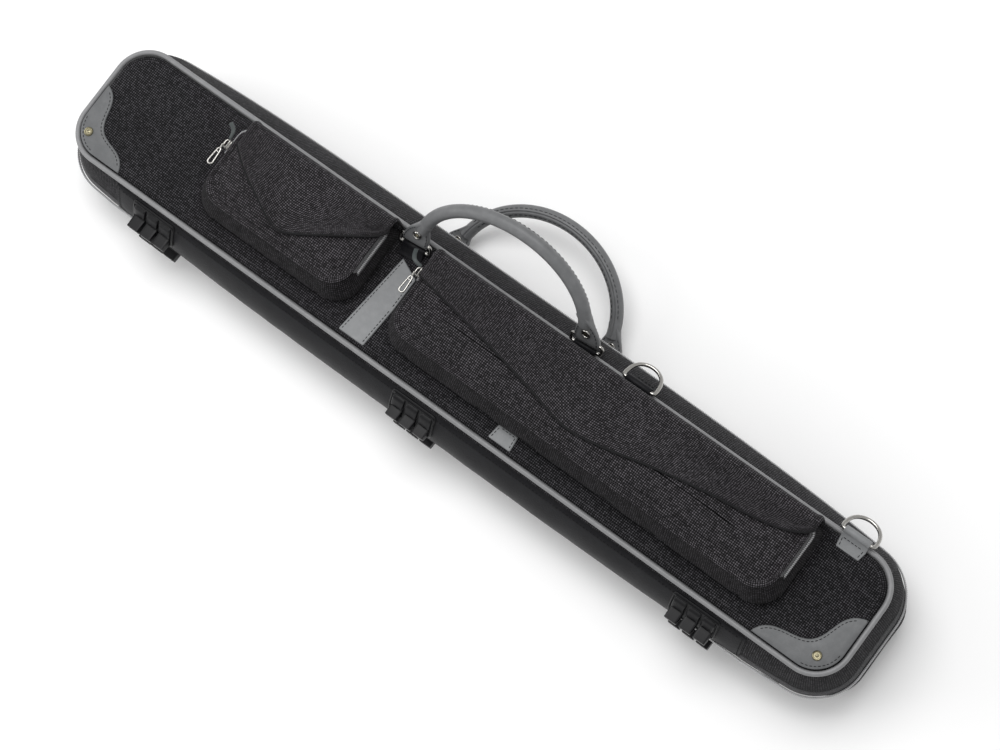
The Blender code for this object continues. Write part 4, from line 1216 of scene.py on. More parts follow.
def mouth_share(pocket, point):
    """How open the mouth is at a point: fully along the top, closing towards its two ends."""
    x0, x1 = pocket["x"][0] + MOUTH_END_MARGIN, pocket["x"][1] - MOUTH_END_MARGIN
    inside = min(point.x - x0, x1 - point.x)
    return max(0.0, min(1.0, inside / MOUTH_CLOSING)) if point.y > 0.03 else 0.0


def zip_half_rows(label, sign):
    """The tape's rows above or below the mouth, all with the same number of points."""
    pocket = POCKETS[label]
    rise = pocket["height"]
    parting = MOUTH_HALF_WIDTH / rise + ZIP_PARTING
    rows = []
    for spread, extra in ZIP_LEVELS:
        row = []
        for p in zip_run(label, ZIP_LEVEL + sign * spread, extra):
            if spread < parting:
                wide = max(spread, parting * mouth_share(pocket, p))
                p = Vector((p.x, p.y, DEPTH + (ZIP_LEVEL + sign * wide) * rise))
            row.append(p)
        rows.append(resample(row, 0.004))
    count = min(len(row) for row in rows)
    return [[row[round(k * (len(row) - 1) / (count - 1))] for k in range(count)] for row in rows]


def zip_teeth(piece, pocket, line, sign):
    """The coil's teeth along one side of the mouth."""
    up = Vector((0, 0, 1))
    middle = Vector((pocket["x"][0] + pocket["x"][1], pocket["y"][0] + pocket["y"][1], 0)) / 2
    for i in range(1, len(line) - 1):
        along = (line[i + 1] - line[i - 1]).normalized()
        outward = up.cross(along).normalized()
        if outward.dot(line[i] - middle) < 0:
            outward = -outward
        centre = line[i] + along * TOOTH_PITCH * 0.25 * sign + outward * 0.0002
        tooth(piece, centre, along, up, outward, POCKET_TOOTH, 1)


def make_pocket_zip(label):
    """Tape on both sides of the mouth, with the coil's two rows parted where the mouth is open."""
    piece = Piece(label + "_pocket_zip_tape", TAPE_CLOTH, COIL_NYLON, POCKET_CLOTH)
    for sign in (1, -1):
        rows = zip_half_rows(label, sign)
        piece.grid(rows)
        zip_teeth(piece, POCKETS[label], resample(rows[-1], TOOTH_PITCH), sign)
    return piece.finish("lid", label + "_pocket_zip", slot_name="zip")


FLAP_EDGES = {
    "small": (
        (-0.2600, 0.0260), (-0.2400, 0.0115), (-0.2150, -0.0015), (-0.1960, -0.0110), (-0.1830, -0.0135),
        (-0.1650, -0.0060), (-0.1400, 0.0105), (-0.1180, 0.0250), (-0.1080, 0.0340), (-0.1045, 0.0400),
    ),
    "large": (
        (-0.0600, 0.0245), (-0.0200, 0.0175), (0.0300, 0.0090), (0.0750, 0.0000), (0.1050, -0.0070),
        (0.1250, -0.0085), (0.1550, -0.0035), (0.1950, 0.0060), (0.2400, 0.0145), (0.2850, 0.0210),
        (0.3100, 0.0270), (0.3240, 0.0350), (0.3290, 0.0405),
    ),
}
FLAP_THICKNESS = 0.0018
FLAP_HEM = 0.0045
FLAP_RISE = (
    (0.0508, 0.06), (0.0508, 0.28), (0.0509, 0.50), (0.0509, 0.68), (0.0508, 0.80), (0.0505, 0.88),
    (0.0498, 0.94), (0.0488, 0.98), (0.0474, 1.006),
)


def surface_reader(obj, floor):
    """A function that gives the highest point of obj near x, y."""
    faces = [tuple(p.vertices) for p in obj.data.polygons]
    tree = BVHTree.FromPolygons([v.co for v in obj.data.vertices], faces)

    def read(x, y):
        best = floor
        for dx, dy in ((0, 0), (0.003, 0), (-0.003, 0), (0, 0.003), (0, -0.003)):
            hit = tree.ray_cast(Vector((x + dx, y + dy, 0.25)), Vector((0, 0, -1)))[0]
            if hit:
                best = max(best, hit.z)
        return best

    return read


def flap_path(pocket, edge_y, x, read):
    """The line under the flap from its seam on the panel, over the crease and on to its free edge."""
    rise = pocket["height"]
    crease = DEPTH + rise + 0.0008
    points = [Vector((x, y, DEPTH + part * rise)) for y, part in FLAP_RISE]
    start = Vector((x, 0.0440, crease - 0.0001))
    points.append(Vector((x, 0.0458, crease - 0.0002)))
    count = 12
    for k in range(count + 1):
        y = start.y + (edge_y - start.y) * k / count
        under = read(x, y) + 0.0007 + 0.0014 * max(0.0, 1.0 - (y - edge_y) / 0.006)
        ease = min(1.0, (start.y - y) / 0.014)
        z = start.z + (min(under, crease + 0.0006) - start.z) * ease * ease * (3 - 2 * ease)
        points.append(Vector((x, y, max(z, under))))
    return points


def make_flap(label, pocket_obj):
    """A flap as one lined sheet: it stands on its seam, rolls over the edge and lies on the pocket."""
    pocket = POCKETS[label]
    crease = DEPTH + pocket["height"] + 0.0008
    read = surface_reader(pocket_obj, DEPTH + 0.80 * pocket["height"])
    corners = [Vector((x, y, 0.0)) for x, y in FLAP_EDGES[label]]
    curve = smooth_line(corners, 0.0030)
    xs = [curve[0].x] + [p.x for p in curve[1:-1]] + [curve[-1].x]
    under = [flap_path(pocket, p.y, x, read) for x, p in zip(xs, curve)]
    outer, inner = [], []
    for j, path in enumerate(under):
        row_out, row_in = [], []
        from_end = min(xs[j] - xs[0], xs[-1] - xs[j])
        to_edge = lengths(path, False)
        for i, point in enumerate(path):
            before, after = path[max(0, i - 1)], path[min(len(path) - 1, i + 1)]
            along = (after - before).normalized()
            normal = Vector((0.0, along.z, -along.y))
            if normal.z < 0 and i > len(FLAP_RISE):
                normal = -normal
            left = to_edge[-1] - to_edge[i]
            thick = FLAP_THICKNESS * min(1.0, 0.35 + from_end / 0.0012, 0.35 + left / 0.0012)
            hem = 0.0009 if left < FLAP_HEM or from_end < FLAP_HEM else -0.0002
            soft = waver(point, 0.016, 0.00035)
            row_out.append(point + normal * (thick + hem + max(0.0, soft)))
            row_in.append(point + normal * 0.0002)
        outer.append(row_out)
        inner.append(row_in)
    piece = Piece(label + "_flap_cloth", POCKET_CLOTH, BLACK_THREAD)
    rows = [top + bottom[::-1] for top, bottom in zip(outer, inner)]
    piece.grid(rows, 0, wrap_columns=True)
    piece.cap(rows[0])
    piece.cap(rows[-1])
    # A thin black tube just under and outside the free edge: a painted shadow line beneath the flap.
    painted_shadow_line = [path[-1] + Vector((0.0, -0.0003, 0.0002)) for path in under]
    sweep(piece, painted_shadow_line, 0.0012, Vector((0, 0, 1)), 8, 1)
    obj = piece.finish(None, slot_name="pocket_fabric", sharp=70.0)
    soften(obj)
    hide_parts(label + "_flap", label + "_flap_root")
    start, end = (0, 0.0500, crease - 0.006), (0, 0.0415, crease + 0.002)
    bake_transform(obj)
    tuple(start)
    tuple(end)
    width = xs[-1] - xs[0]
    drops = [lengths(path, False)[-1] for path in under]
    drop = sum(drops) / len(xs)
    longest = max(drops)
    return obj, (width, longest), width * drop


# ---------------------------------------------------------------- rings, loops and handles


HANDLE_HALF_SPAN = 0.0855
PIVOTS = {"front": Vector((-0.0020, 0.0510, 0.1008)), "rear": Vector((-0.0025, 0.0640, 0.0078))}
TILTS = {"front": 59.0, "rear": 24.0}
SKEWS = {"front": 4.6, "rear": 0.0}
SKEW_LIFT = 0.0009
GRIP_RADIUS = 0.006
GRIP_START = 0.014
GRIP_RISE = 0.072
RING_WIRE = 0.0015
RING_WIDTH = 0.030
RING_REACH = 0.009
TAB_WIDTH = 0.0245
HANDLE_RIVET = (0.0838, 0.0185, 0.0026)
STRAP_RING_WIDTH = 0.031
STRAP_RING_REACH = 0.022
STRAP_RING_WIRE = 0.0017
STRAP_RINGS = {"middle": (0.1380, 0.0575, 0.1008, -28.0), "end": (0.3560, 0.0585, 0.1010, -35.0)}
HANDLE_LOOP_WIDTH = 0.0215
STRAP_LOOP_WIDTH = 0.0245


def tilted(pivot, degrees):
    return Matrix.Translation(pivot) @ Matrix.Rotation(math.radians(degrees), 4, "X")


def grip_section(turn):
    """The rolled leather's outline: round, with the two lips of its long seam at the top."""
    away = math.degrees(turn) - 90
    lips = math.exp(-(((abs(away) - 15) / 7.5) ** 2))
    groove = math.exp(-((away / 5.5) ** 2))
    return 1.0 + 0.13 * lips - 0.10 * groove


def make_handle(word, seam_up):
    """The rolled grip, its two tabs folded round the rings' bars, and their stitches."""
    bars = Matrix.Translation(PIVOTS[word]) @ Matrix.Rotation(math.radians(SKEWS[word]), 4, "Z")
    place = bars @ Matrix.Rotation(math.radians(TILTS[word]), 4, "X")
    body = word + "_handle"
    piece = Piece(body + "_leather", HANDLE_LEATHER, BLACK_THREAD)
    top = Vector((0, 0, 1 if seam_up else -1))
    path = []
    for k in range(73):
        angle = math.radians(9 + 162 * k / 72)
        x = -(HANDLE_HALF_SPAN - 0.0045) * math.cos(angle)
        path.append(Vector((x, GRIP_START + GRIP_RISE * math.sin(angle), 0.0)))
    sweep(piece, path, GRIP_RADIUS * 0.98, top, 36, section=grip_section)
    for shift in (-1, 1):
        seam = []
        for i, (side, up) in enumerate(frames_along(path, False, top)):
            turn = math.radians(90 + shift * 30)
            seam.append(path[i] + GRIP_RADIUS * 1.01 * (math.cos(turn) * side + math.sin(turn) * up))
        stitch_run(piece, seam[5:-5], top, 1, 0.0030, 0.0016, 0.00028)
    for side in (-1.0, 1.0):
        handle_tab(piece, side)
    piece.mesh.transform(place)
    piece.finish(body, body, slot_name="handle_leather")
    for side, label in ((-1.0, "left"), (1.0, "right")):
        rivet_x, rivet_reach, rivet_height = HANDLE_RIVET
        rivet_place = place @ Matrix.Translation((side * rivet_x, rivet_reach, rivet_height))
        make_rivet(f"{body}_rivet_{label}", body, rivet_place)
        handle_ring(f"{body}_ring_{label}", body, place, side * HANDLE_HALF_SPAN)
        bar = bars @ Vector((side * HANDLE_HALF_SPAN, 0.0, 0.0))
        kind = "flat" if word == "front" and side < 0 else word
        lift = SKEW_LIFT if SKEWS[word] else 0.0
        make_loop(f"{body}_loop_{label}", kind, bar, RING_WIRE, HANDLE_LOOP_WIDTH, SKEWS[word], lift)


TAB_SECTIONS = (
    (0.0058, 0.0855, 0.99, 0.0012), (0.0062, 0.0855, 1.00, 0.0021), (0.0072, 0.0855, 1.00, 0.0028),
    (0.0090, 0.0854, 1.00, 0.0030), (0.0120, 0.0850, 1.00, 0.0029), (0.0150, 0.0845, 0.97, 0.0025),
    (0.0180, 0.0839, 0.91, 0.0024), (0.0205, 0.0834, 0.84, 0.0024), (0.0235, 0.0826, 0.73, 0.0026),
    (0.0265, 0.0816, 0.61, 0.0031), (0.0300, 0.0800, 0.52, 0.0042), (0.0335, 0.0782, 0.47, 0.0052),
    (0.0360, 0.0766, 0.44, 0.0056),
)


def handle_tab(piece, side):
    rows = []
    for reach, middle, width, thick in TAB_SECTIONS:
        half = TAB_WIDTH / 2 * width
        row = []
        for k in range(32):
            turn = 2 * math.pi * k / 32
            c, s = math.cos(turn), math.sin(turn)
            a = half * math.copysign(abs(c) ** 0.45, c)
            b = thick * math.copysign(abs(s) ** 0.55, s)
            row.append(Vector((side * middle + a, reach, b)))
        rows.append(row)
    piece.grid(rows, wrap_columns=True)
    piece.cap(rows[0])
    piece.cap(rows[-1])
    for face in (-1, 1):
        for edge in (-1, 1):
            seam = []
            for reach, middle, width, thick in TAB_SECTIONS[3:11]:
                across = edge * (TAB_WIDTH / 2 * width - 0.0019)
                seam.append(Vector((side * middle + across, reach, face * thick * 0.985)))
            stitch_run(piece, seam, Vector((0, 0, face)), 1)


def handle_ring(node, body, place, middle_x):
    half, corner = RING_WIDTH / 2, 0.0025
    corners = (
        (half - corner, RING_REACH - corner, 0), (-half + corner, RING_REACH - corner, 90),
        (-half + corner, corner, 180), (half - corner, corner, 270),
    )
    path = []
    for cx, cy, first in corners:
        for k in range(9):
            angle = math.radians(first + 90 * k / 8)
            turn_x, turn_y = corner * math.cos(angle), corner * math.sin(angle)
            path.append(place @ Vector((middle_x + cx + turn_x, cy + turn_y, 0.0)))
    piece = Piece(node + "_wire", NICKEL)
    sweep(piece, resample(path, 0.0010, True), RING_WIRE, place.to_3x3() @ Vector((0, 0, 1)), 16, closed=True)
    piece.finish(body, node, slot_name="nickel")


def strap_ring(label):
    x, y, z, tilt = STRAP_RINGS[label]
    node = label + "_strap_ring"
    place = tilted((x, y, z), tilt)
    half, reach = STRAP_RING_WIDTH / 2, STRAP_RING_REACH
    path = [Vector((-half + 0.002, 0.0, 0.0)), Vector((0.0, 0.0, 0.0)), Vector((half - 0.002, 0.0, 0.0))]
    for k in range(25):
        angle = math.pi * k / 24
        bow = math.sin(angle) ** 0.75
        path.append(Vector((half * math.cos(angle), 0.0025 + (reach - 0.0025) * bow, 0.0)))
    line = [place @ p for p in smooth_line(path, 0.0012, closed=True)]
    piece = Piece(node + "_wire", NICKEL)
    sweep(piece, line, STRAP_RING_WIRE, place.to_3x3() @ Vector((0, 0, 1)), 16, closed=True)
    piece.finish(node, node, slot_name="nickel")
    kind = "panel" if label == "end" else "front"
    make_loop(node + "_loop", kind, Vector((x, y, z)), STRAP_RING_WIRE, STRAP_LOOP_WIDTH)


def wall_y(x, depth, extra):
    return HALF_HEIGHT + wall_offset(depth, long_fullness(x)) + extra


def loop_tail(kind, bar, outer, lift):
    """The tail's section: Y, Z and the width's share, from the eye out and back to it."""
    x = bar.x
    if kind == "front":
        depths = (0.0110, 0.0140, 0.0170, 0.0198)
        tail = [
            (bar.y + outer - 0.0003, bar.z, 1.0), (0.0607 + lift, 0.0960, 1.0), (0.0604 + lift, 0.0920, 1.0),
        ]
        tail += [(wall_y(x, d, 0.0018 + lift), DEPTH - d, 1.0) for d in depths]
        tail += [(wall_y(x, d, 0.0003 + lift), DEPTH - d, 1.0) for d in depths[::-1]]
        return tail + [(0.0587 + lift, 0.0960, 1.0), (bar.y + 0.0012, bar.z - outer + 0.0003, 1.0)]
    if kind == "rear":
        first = (bar.y + outer * math.cos(1.309), bar.z + outer * math.sin(1.309) - 0.0003, 1.0)
        tail = [(bar.y + outer - 0.0003, bar.z, 1.0), (wall_y(x, 0.0170, 0.0018), 0.0150, 1.0)]
        tail += [(wall_y(x, 0.022, 0.0018), 0.022, 1.0), (wall_y(x, 0.022, 0.0003), 0.022, 1.0)]
        return tail + [(bar.y + 0.0012, bar.z + 0.0045, 1.0), first]
    length, share = (0.0155, 0.88) if kind == "panel" else (0.0110, 1.0)
    y = bar.y
    top = [
        (y - 0.0031, bar.z + 0.0016, 1.0), (y - 0.0065, DEPTH + 0.0030, 1.0),
        (y - 0.0088, DEPTH + 0.0024, 0.98),
    ]
    top += [(y - length + 0.0003, DEPTH + 0.0019, share), (y - length, DEPTH + 0.0003, share)]
    low = [(y - 0.0080, DEPTH + 0.0003, 1.0), (y - 0.0053, DEPTH + 0.0014, 1.0)]
    return top + low + [(y - 0.0006, bar.z - outer + 0.0003, 1.0)]


def make_loop(node, kind, bar, wire, width, skew=0.0, lift=0.0):
    """A strap sewn to the case, with an eye round a ring's bar."""
    x = bar.x
    leather = GREY_LEATHER if kind == "panel" else SMOOTH_PANEL
    slot_name = "grey_leather" if kind == "panel" else "smooth_panel"
    piece = Piece(node + "_strap", leather, BLACK_THREAD)
    eye, outer, half = wire + 0.0003, wire + 0.0019, width / 2
    section = (
        (-half, eye), (-half, outer - 0.0004), (-half + 0.0005, outer), (0.0, outer),
        (half - 0.0005, outer), (half, outer - 0.0004), (half, eye),
    )
    rows = []
    for k in range(28):
        angle = 2 * math.pi * k / 28
        row = [Vector((x + a, bar.y + r * math.cos(angle), bar.z + r * math.sin(angle))) for a, r in section]
        rows.append(row)
    piece.grid(rows, wrap_rows=True, wrap_columns=True)
    tail = loop_tail(kind, bar, outer, lift)
    middle = sum((Vector((0, y, z)) for y, z, _ in tail), Vector()) / len(tail)
    rows = []
    for across, shrink in ((-1.0, 0.0005), (-0.955, 0.0), (0.0, 0.0), (0.955, 0.0), (1.0, 0.0005)):
        row = []
        for y, z, share in tail:
            inward = (middle - Vector((0, y, z))).normalized() * shrink
            row.append(Vector((x + across * half * share, y + inward.y, z + inward.z)))
        rows.append(row)
    piece.grid(rows, wrap_columns=True)
    piece.cap(rows[0])
    piece.cap(rows[-1])
    if kind in ("panel", "flat"):
        for side in (-1, 1):
            seam = [Vector((x + side * (half * s - 0.0022), y, z + 0.0001)) for y, z, s in tail[1:4]]
            stitch_run(piece, seam, Vector((0, 0, 1)), 1)
        across = [Vector((x + side * (half - 0.0022), tail[1][0], tail[1][1] + 0.0001)) for side in (-1, 1)]
        stitch_run(piece, across, Vector((0, 0, 1)), 1)
    else:
        low = 0.0178 if kind == "front" else 0.0195
        y = wall_y(x, low, 0.0019 + lift)
        z = DEPTH - low if kind == "front" else low
        seam = [Vector((x - half + 0.0025, y, z)), Vector((x + half - 0.0025, y, z))]
        stitch_run(piece, seam, Vector((0, 1, 0)), 1)
    turn = Matrix.Rotation(math.radians(skew), 4, "Z")
    piece.mesh.transform(Matrix.Translation(bar) @ turn @ Matrix.Translation(-bar))
    body = "base" if kind == "rear" else "lid"
    return piece.finish(body, node, slot_name=slot_name)


# ---------------------------------------------------------------- zip sliders


PULL_SIZES = {"pocket": (0.018, 0.0066, 0.0034), "main": (0.022, 0.0070, 0.0008)}
MAIN_SLIDER_SIZE = (0.0088, 0.0098, 0.0036)


def slider_shape(piece, place, size):
    """A slider: a lower and an upper plate pinched at the tail, a post between them and the bridge."""
    wide, long, tall = size
    outline = []
    for k in range(36):
        turn = 2 * math.pi * k / 36
        c, s = math.cos(turn), math.sin(turn)
        pinch = 0.86 + 0.14 * s - 0.10 * math.exp(-((s + 0.2) / 0.35) ** 2)
        x = wide / 2 * math.copysign(abs(c) ** 0.6, c) * pinch
        y = long / 2 * math.copysign(abs(s) ** 0.75, s)
        outline.append(Vector((x, y, 0.0)))

    def level(base):
        return lambda x, y, rise: place @ Vector((x, y, base + rise))

    plate = tall * 0.28
    for base in (-tall / 2, tall * 0.02):
        profile = ((0.0003, 0.0), (0.0, 0.0003), (0.0, plate - 0.0003), (0.0003, plate))
        mound(piece, outline, profile, level(base))
    core = inset_outline(outline, wide * 0.17)
    mound(piece, core, ((0.0, 0.0), (0.0, tall * 0.3)), level(-tall * 0.25))
    bridge = []
    for k in range(13):
        turn = math.pi * k / 12
        rise = tall * 0.30 + (tall * 0.62) * math.sin(turn) ** 0.6
        bridge.append(place @ Vector((0.0, long * 0.36 * math.cos(turn), rise)))
    sweep(piece, bridge, lambda i: wide * 0.12, place.to_3x3() @ Vector((1, 0, 0)), 10)


def pull_shape(piece, place, length, width, neck_reach):
    """A drop pull: an open loop of flat-sided wire with a bar across it and a neck at the bridge."""
    shift = length / 2 - width / 2
    wire = 0.00085
    path = []
    for k in range(40):
        turn = 2 * math.pi * k / 40
        c, s = math.cos(turn), math.sin(turn)
        y = -length / 2 + math.copysign(shift, s + 1e-9) + (width / 2 - wire) * s
        taper = 0.50 + 0.50 * min(1.0, -y / length / 0.75)
        path.append(Vector(((width / 2 - wire) * c * max(0.4, taper), y, 0.0)))
    line = [place @ p for p in resample(path, 0.0009, True)]
    up = place.to_3x3() @ Vector((0, 0, 1))
    sweep(piece, line, wire, up, 12, closed=True)
    neck_points = ((neck_reach, 0.0008), (neck_reach / 2, 0.0004), (-0.0012, 0.0))
    neck = [place @ Vector((0.0, y, rise)) for y, rise in neck_points]
    sweep(piece, neck, wire * 1.25, up, 10)
    half = (width / 2 - wire) * 0.66
    bar = [place @ Vector((x, -length * 0.26, 0.0)) for x in (-half, 0.0, half)]
    sweep(piece, bar, wire * 0.9, up, 8)


def make_slider(body_word, place, size, pull_place, pull_size):
    body = body_word + "_slider"
    piece = Piece(body + "_casting", NICKEL)
    slider_shape(piece, place, size)
    piece.finish(body, body, slot_name="nickel")
    pull = Piece(body_word + "_pull_wire", NICKEL)
    pull_shape(pull, pull_place, *pull_size)
    pull.finish(body_word + "_pull", body_word + "_pull", slot_name="nickel")


def make_pocket_slider(label, y, tail_end):
    pocket = POCKETS[label]
    rise = pocket["height"]
    slope = Vector((-0.26 * rise, 0.0, 0.0040)).normalized()
    seat = Vector((pocket["x"][0] + gusset_inset(ZIP_LEVEL, False), y, DEPTH + ZIP_LEVEL * rise))
    centre = seat + slope * (0.0003 + 0.0012 + 0.0023)
    place = Matrix.Translation(centre) @ Matrix.Rotation(math.atan2(slope.x, slope.z), 4, "Y")
    pivot = centre + slope * 0.0030 + Vector((0.0, -0.0055, 0.0015))
    name = label + "_pocket"
    size = (0.0062, 0.0095, 0.0038)
    make_slider(name, place, size, Matrix.Translation(pivot), PULL_SIZES["pocket"])
    start = centre + Vector((-0.0020, 0.0050, 0.0))
    finish = start + Vector(tail_end)
    along = (finish - start).normalized()
    side = along.cross(Vector((0, 0, 1))).normalized()
    points = []
    for k in range(7):
        t = k / 6
        curl = side * 0.0030 * math.sin(math.pi * t * 1.1) * (1 if label == "small" else -1)
        points.append(start.lerp(finish, t) + Vector((0, 0, 0.0028 * math.sin(math.pi * t))) + curl)
    line = smooth_line(points, 0.0008)
    piece = Piece(name + "_tail_strip", TAIL_LEATHER)
    widths = [0.0028 + 0.0010 * min(1.0, k / len(line) * 2) for k in range(len(line))]
    ribbon(piece, line, Vector((0, 0, 1)), widths, 0.0011)
    piece.finish(name + "_slider", name + "_tail", slot_name="grey_leather")


def make_main_slider(word, y, direction):
    x = -HALF_LENGTH - END_FULLNESS - 0.0024
    centre = Vector((x, y, MIDDLE))
    turn = Matrix.Rotation(math.radians(-90), 4, "Y")
    place = Matrix.Translation(centre) @ turn
    if direction < 0:
        place = place @ Matrix.Rotation(math.pi, 4, "Z")
    pivot = Vector((x - 0.0032, y + direction * 0.0010, MIDDLE))
    flip = Matrix.Rotation(math.pi if direction > 0 else 0.0, 4, "Z")
    pull_place = Matrix.Translation(pivot) @ flip @ Matrix.Rotation(math.radians(90), 4, "Y")
    make_slider("main_" + word, place, MAIN_SLIDER_SIZE, pull_place, PULL_SIZES["main"])


# ---------------------------------------------------------------- inside the case


TRAY_TOP = 0.042
CHANNELS = ((0.0215, 0.019), (-0.0225, 0.016))
CHANNEL_HALF_LENGTH = 0.388
CHANNEL_FLOOR = 0.011
CHANNEL_LIP = ((0.0030, 0.0), (0.0012, 0.01), (0.0002, 0.05), (0.0, 0.10), (-0.0002, 0.62))
CHANNEL_TURNS = (0.35, 0.7, 1.05, 1.35, math.pi / 2)
LINER_INSET = WALL_THICKNESS + 0.0012
LID_PAD_BOTTOM = 0.080
QUILT = 0.030


def edge_direction(x, y):
    """Outwards from the case's outline, for a point near it."""
    dx, dy = abs(x) - (HALF_LENGTH - CORNER_RADIUS), abs(y) - (HALF_HEIGHT - CORNER_RADIUS)
    if dx > 0 and dy > 0:
        return Vector((math.copysign(dx, x), math.copysign(dy, y), 0.0)).normalized()
    if dx > dy:
        return Vector((math.copysign(1.0, x), 0.0, 0.0))
    return Vector((0.0, math.copysign(1.0, y), 0.0))


def tray_half_width(x):
    """Half the tray's width at its top, at a place along the case."""
    over = abs(x) - (HALF_LENGTH - CORNER_RADIUS)
    full = long_fullness(x) if over <= 0 else LONG_FULLNESS_ENDS
    offset = wall_offset(TRAY_TOP, full) - LINER_INSET
    if over <= 0:
        return HALF_HEIGHT + offset
    radius = CORNER_RADIUS + wall_offset(TRAY_TOP, END_FULLNESS) - LINER_INSET
    reach = math.sqrt(max(0.0, radius**2 - over**2))
    blend_share = min(1.0, over / 0.006)
    return HALF_HEIGHT - CORNER_RADIUS + reach + (1 - blend_share) * (offset + CORNER_RADIUS - radius)


def channel_columns():
    """Places across the tray, with how deep each is in a channel: 1 is at the floor."""
    columns = []
    for middle, half in CHANNELS:
        shape = tuple((half + out, part) for out, part in CHANNEL_LIP)
        inner = [(half * math.cos(a), 0.62 + 0.38 * math.sin(a)) for a in CHANNEL_TURNS]
        for dy, deep in shape + tuple(inner):
            columns.append((middle + dy, deep))
            if dy > 1e-6:
                columns.append((middle - dy, deep))
    return sorted(columns)


def make_tray():
    end = HALF_LENGTH + wall_offset(TRAY_TOP, END_FULLNESS) - LINER_INSET
    inner = [0.388, 0.3878, 0.3872, 0.386, 0.383, 0.376, 0.366]
    middle = [0.355 * k / 24 for k in range(24, 0, -1)]
    outer = [end, end - 0.003, end - 0.007, 0.400, 0.394, 0.3895]
    positive = outer + inner + middle
    xs = [-x for x in positive] + [0.0] + positive[::-1]
    columns = channel_columns()
    reference = tray_half_width(CHANNEL_HALF_LENGTH + 0.0015)
    rows = []
    for x in xs:
        half = tray_half_width(x)
        depth_share = 1.0 if abs(x) <= 0.3872 else {0.3878: 0.55, 0.388: 0.06}.get(abs(x), 0.0)
        squeeze = min(1.0, half / reference)
        row = [Vector((x, -half, TRAY_TOP - 0.0012)), Vector((x, -half + 0.0015 * squeeze, TRAY_TOP))]
        for y, deep in columns:
            z = TRAY_TOP - (TRAY_TOP - CHANNEL_FLOOR) * deep * depth_share
            place = Vector((x, y * squeeze * (0.96 if squeeze < 1 else 1.0), z))
            place.z += waver(place, 0.02, 0.0003)
            row.append(place)
        row += [Vector((x, half - 0.0015 * squeeze, TRAY_TOP)), Vector((x, half, TRAY_TOP - 0.0012))]
        rows.append(row)
    piece = Piece("cue_tray_lining", LINING)
    piece.grid(rows)
    border = rows[0] + [row[-1] for row in rows[1:]] + rows[-1][-2::-1] + [row[0] for row in rows[-2:0:-1]]
    skirt = [border]
    for depth in (0.036, 0.026, 0.016, 0.008, 0.0056):
        change = wall_offset(depth, END_FULLNESS + 0.004) - wall_offset(TRAY_TOP, END_FULLNESS + 0.004)
        skirt.append([Vector((p.x, p.y, depth)) + edge_direction(p.x, p.y) * change for p in border])
    skirt.append([Vector((medial(p).x * 0.98, 0.0, 0.0056)) for p in border])
    piece.grid(skirt, wrap_columns=True)
    obj = piece.finish("base", "cue_tray", slot_name="lining")
    return obj


def quilted(point):
    across, down = (point.x + point.y) / QUILT, (point.x - point.y) / QUILT
    return (abs(math.sin(math.pi * across)) * abs(math.sin(math.pi * down))) ** 0.45


def make_lid_pad():
    piece = Piece("lid_pad_lining", LINING)
    rows = [[wall_point(s, depth, -LINER_INSET, True) for s in OUTLINE] for depth in (0.0056, 0.010, 0.0145)]
    edge = [wall_point(s, DEPTH - LID_PAD_BOTTOM - 0.0002, -LINER_INSET - 0.0015, True) for s in OUTLINE]
    for k in range(19):
        row = []
        for point in edge:
            at = point.lerp(medial(point), k / 18)
            at.z = LID_PAD_BOTTOM + 0.0016 - 0.0018 * quilted(at) * min(1.0, k / 1.5)
            row.append(at)
        rows.append(row)
    rows = [[p.lerp(medial(p), 1.0) for p in rows[0]]] + rows
    piece.grid(rows, wrap_columns=True)
    obj = piece.finish("lid", "lid_pad", slot_name="lining")
    return obj


# ---------------------------------------------------------------- studio


CAMERA_PLACE = Vector((0.5582, -0.1763, 2.1130))
CAMERA_TARGET = Vector((0.0259, 0.0021, 0.0500))
CAMERA_ROLL = -35.36
CAMERA_LENS = 90.57


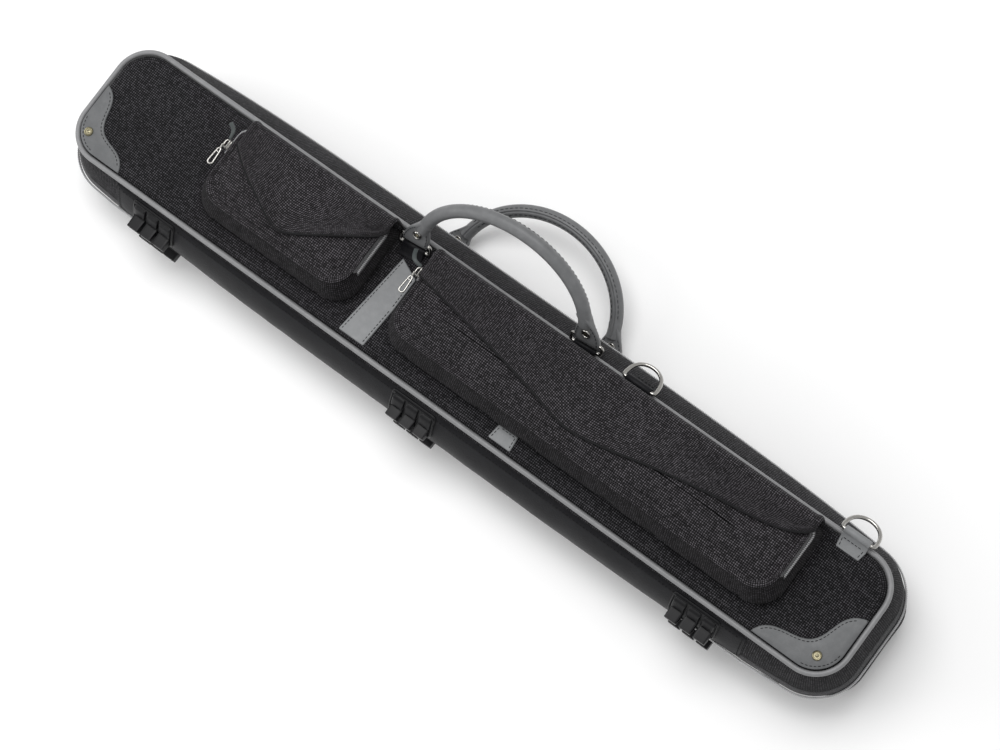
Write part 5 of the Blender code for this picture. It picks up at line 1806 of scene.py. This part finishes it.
def make_camera():
    data = bpy.data.cameras.new("camera")
    data.lens = CAMERA_LENS
    camera = bpy.data.objects.new("camera", data)
    bpy.context.scene.collection.objects.link(camera)
    look = CAMERA_TARGET - CAMERA_PLACE
    turn = look.to_track_quat("-Z", "Y").to_matrix().to_4x4()
    roll = Matrix.Rotation(math.radians(CAMERA_ROLL), 4, "Z")
    camera.matrix_world = Matrix.Translation(CAMERA_PLACE) @ turn @ roll
    bpy.context.scene.camera = camera


def add_area_light(name, place, target, size, power):
    data = bpy.data.lights.new(name, "AREA")
    data.shape = "RECTANGLE"
    data.size, data.size_y = size
    data.energy = power
    light = bpy.data.objects.new(name, data)
    light.location = place
    light.rotation_euler = (Vector(target) - Vector(place)).to_track_quat("-Z", "Y").to_euler()
    bpy.context.scene.collection.objects.link(light)


def make_studio():
    piece = Piece("studio_floor", floor_material())
    half = 6.0
    steps = [-half + half * k / 6 for k in range(13)]
    piece.grid([[Vector((x, y, -0.0002)) for x in steps] for y in steps], flat=True)
    piece.finish(None)
    world = bpy.data.worlds.new("studio")
    bpy.context.scene.world = world
    world.use_nodes = True
    background = world.node_tree.nodes["Background"]
    background.inputs["Color"].default_value = (1.0, 1.0, 1.0, 1.0)
    background.inputs["Strength"].default_value = 0.62
    add_area_light("overhead", (-0.3, 0.5, 2.2), (0.0, 0.0, 0.0), (1.8, 1.2), 30.0)
    add_area_light("side", (-1.6, -0.9, 1.1), (0.0, 0.0, 0.0), (1.4, 1.0), 12.0)
    bpy.context.scene.view_settings.view_transform = "Standard"


def main():
    make_camera()
    make_studio()
    for front in (True, False):
        make_case_half(front)
        make_piping(front)
        make_main_zip(front)
    make_fold_cover()
    for word in ("front", "rear"):
        for label in ("left", "middle", "right"):
            make_foot(word, label)
    make_leather()
    for label in POCKETS:
        pocket = make_pocket(label)
        make_pocket_zip(label)
        flap, flat, area = make_flap(label, pocket)
    make_handle("front", False)
    make_handle("rear", True)
    strap_ring("middle")
    strap_ring("end")
    make_pocket_slider("small", 0.0215, (-0.0080, 0.0120, -0.0020))
    make_pocket_slider("large", 0.0265, (-0.0140, 0.0090, -0.0030))
    make_main_slider("upper", 0.0062, 1)
    make_main_slider("lower", -0.0062, -1)
    make_tray()
    make_lid_pad()


main()
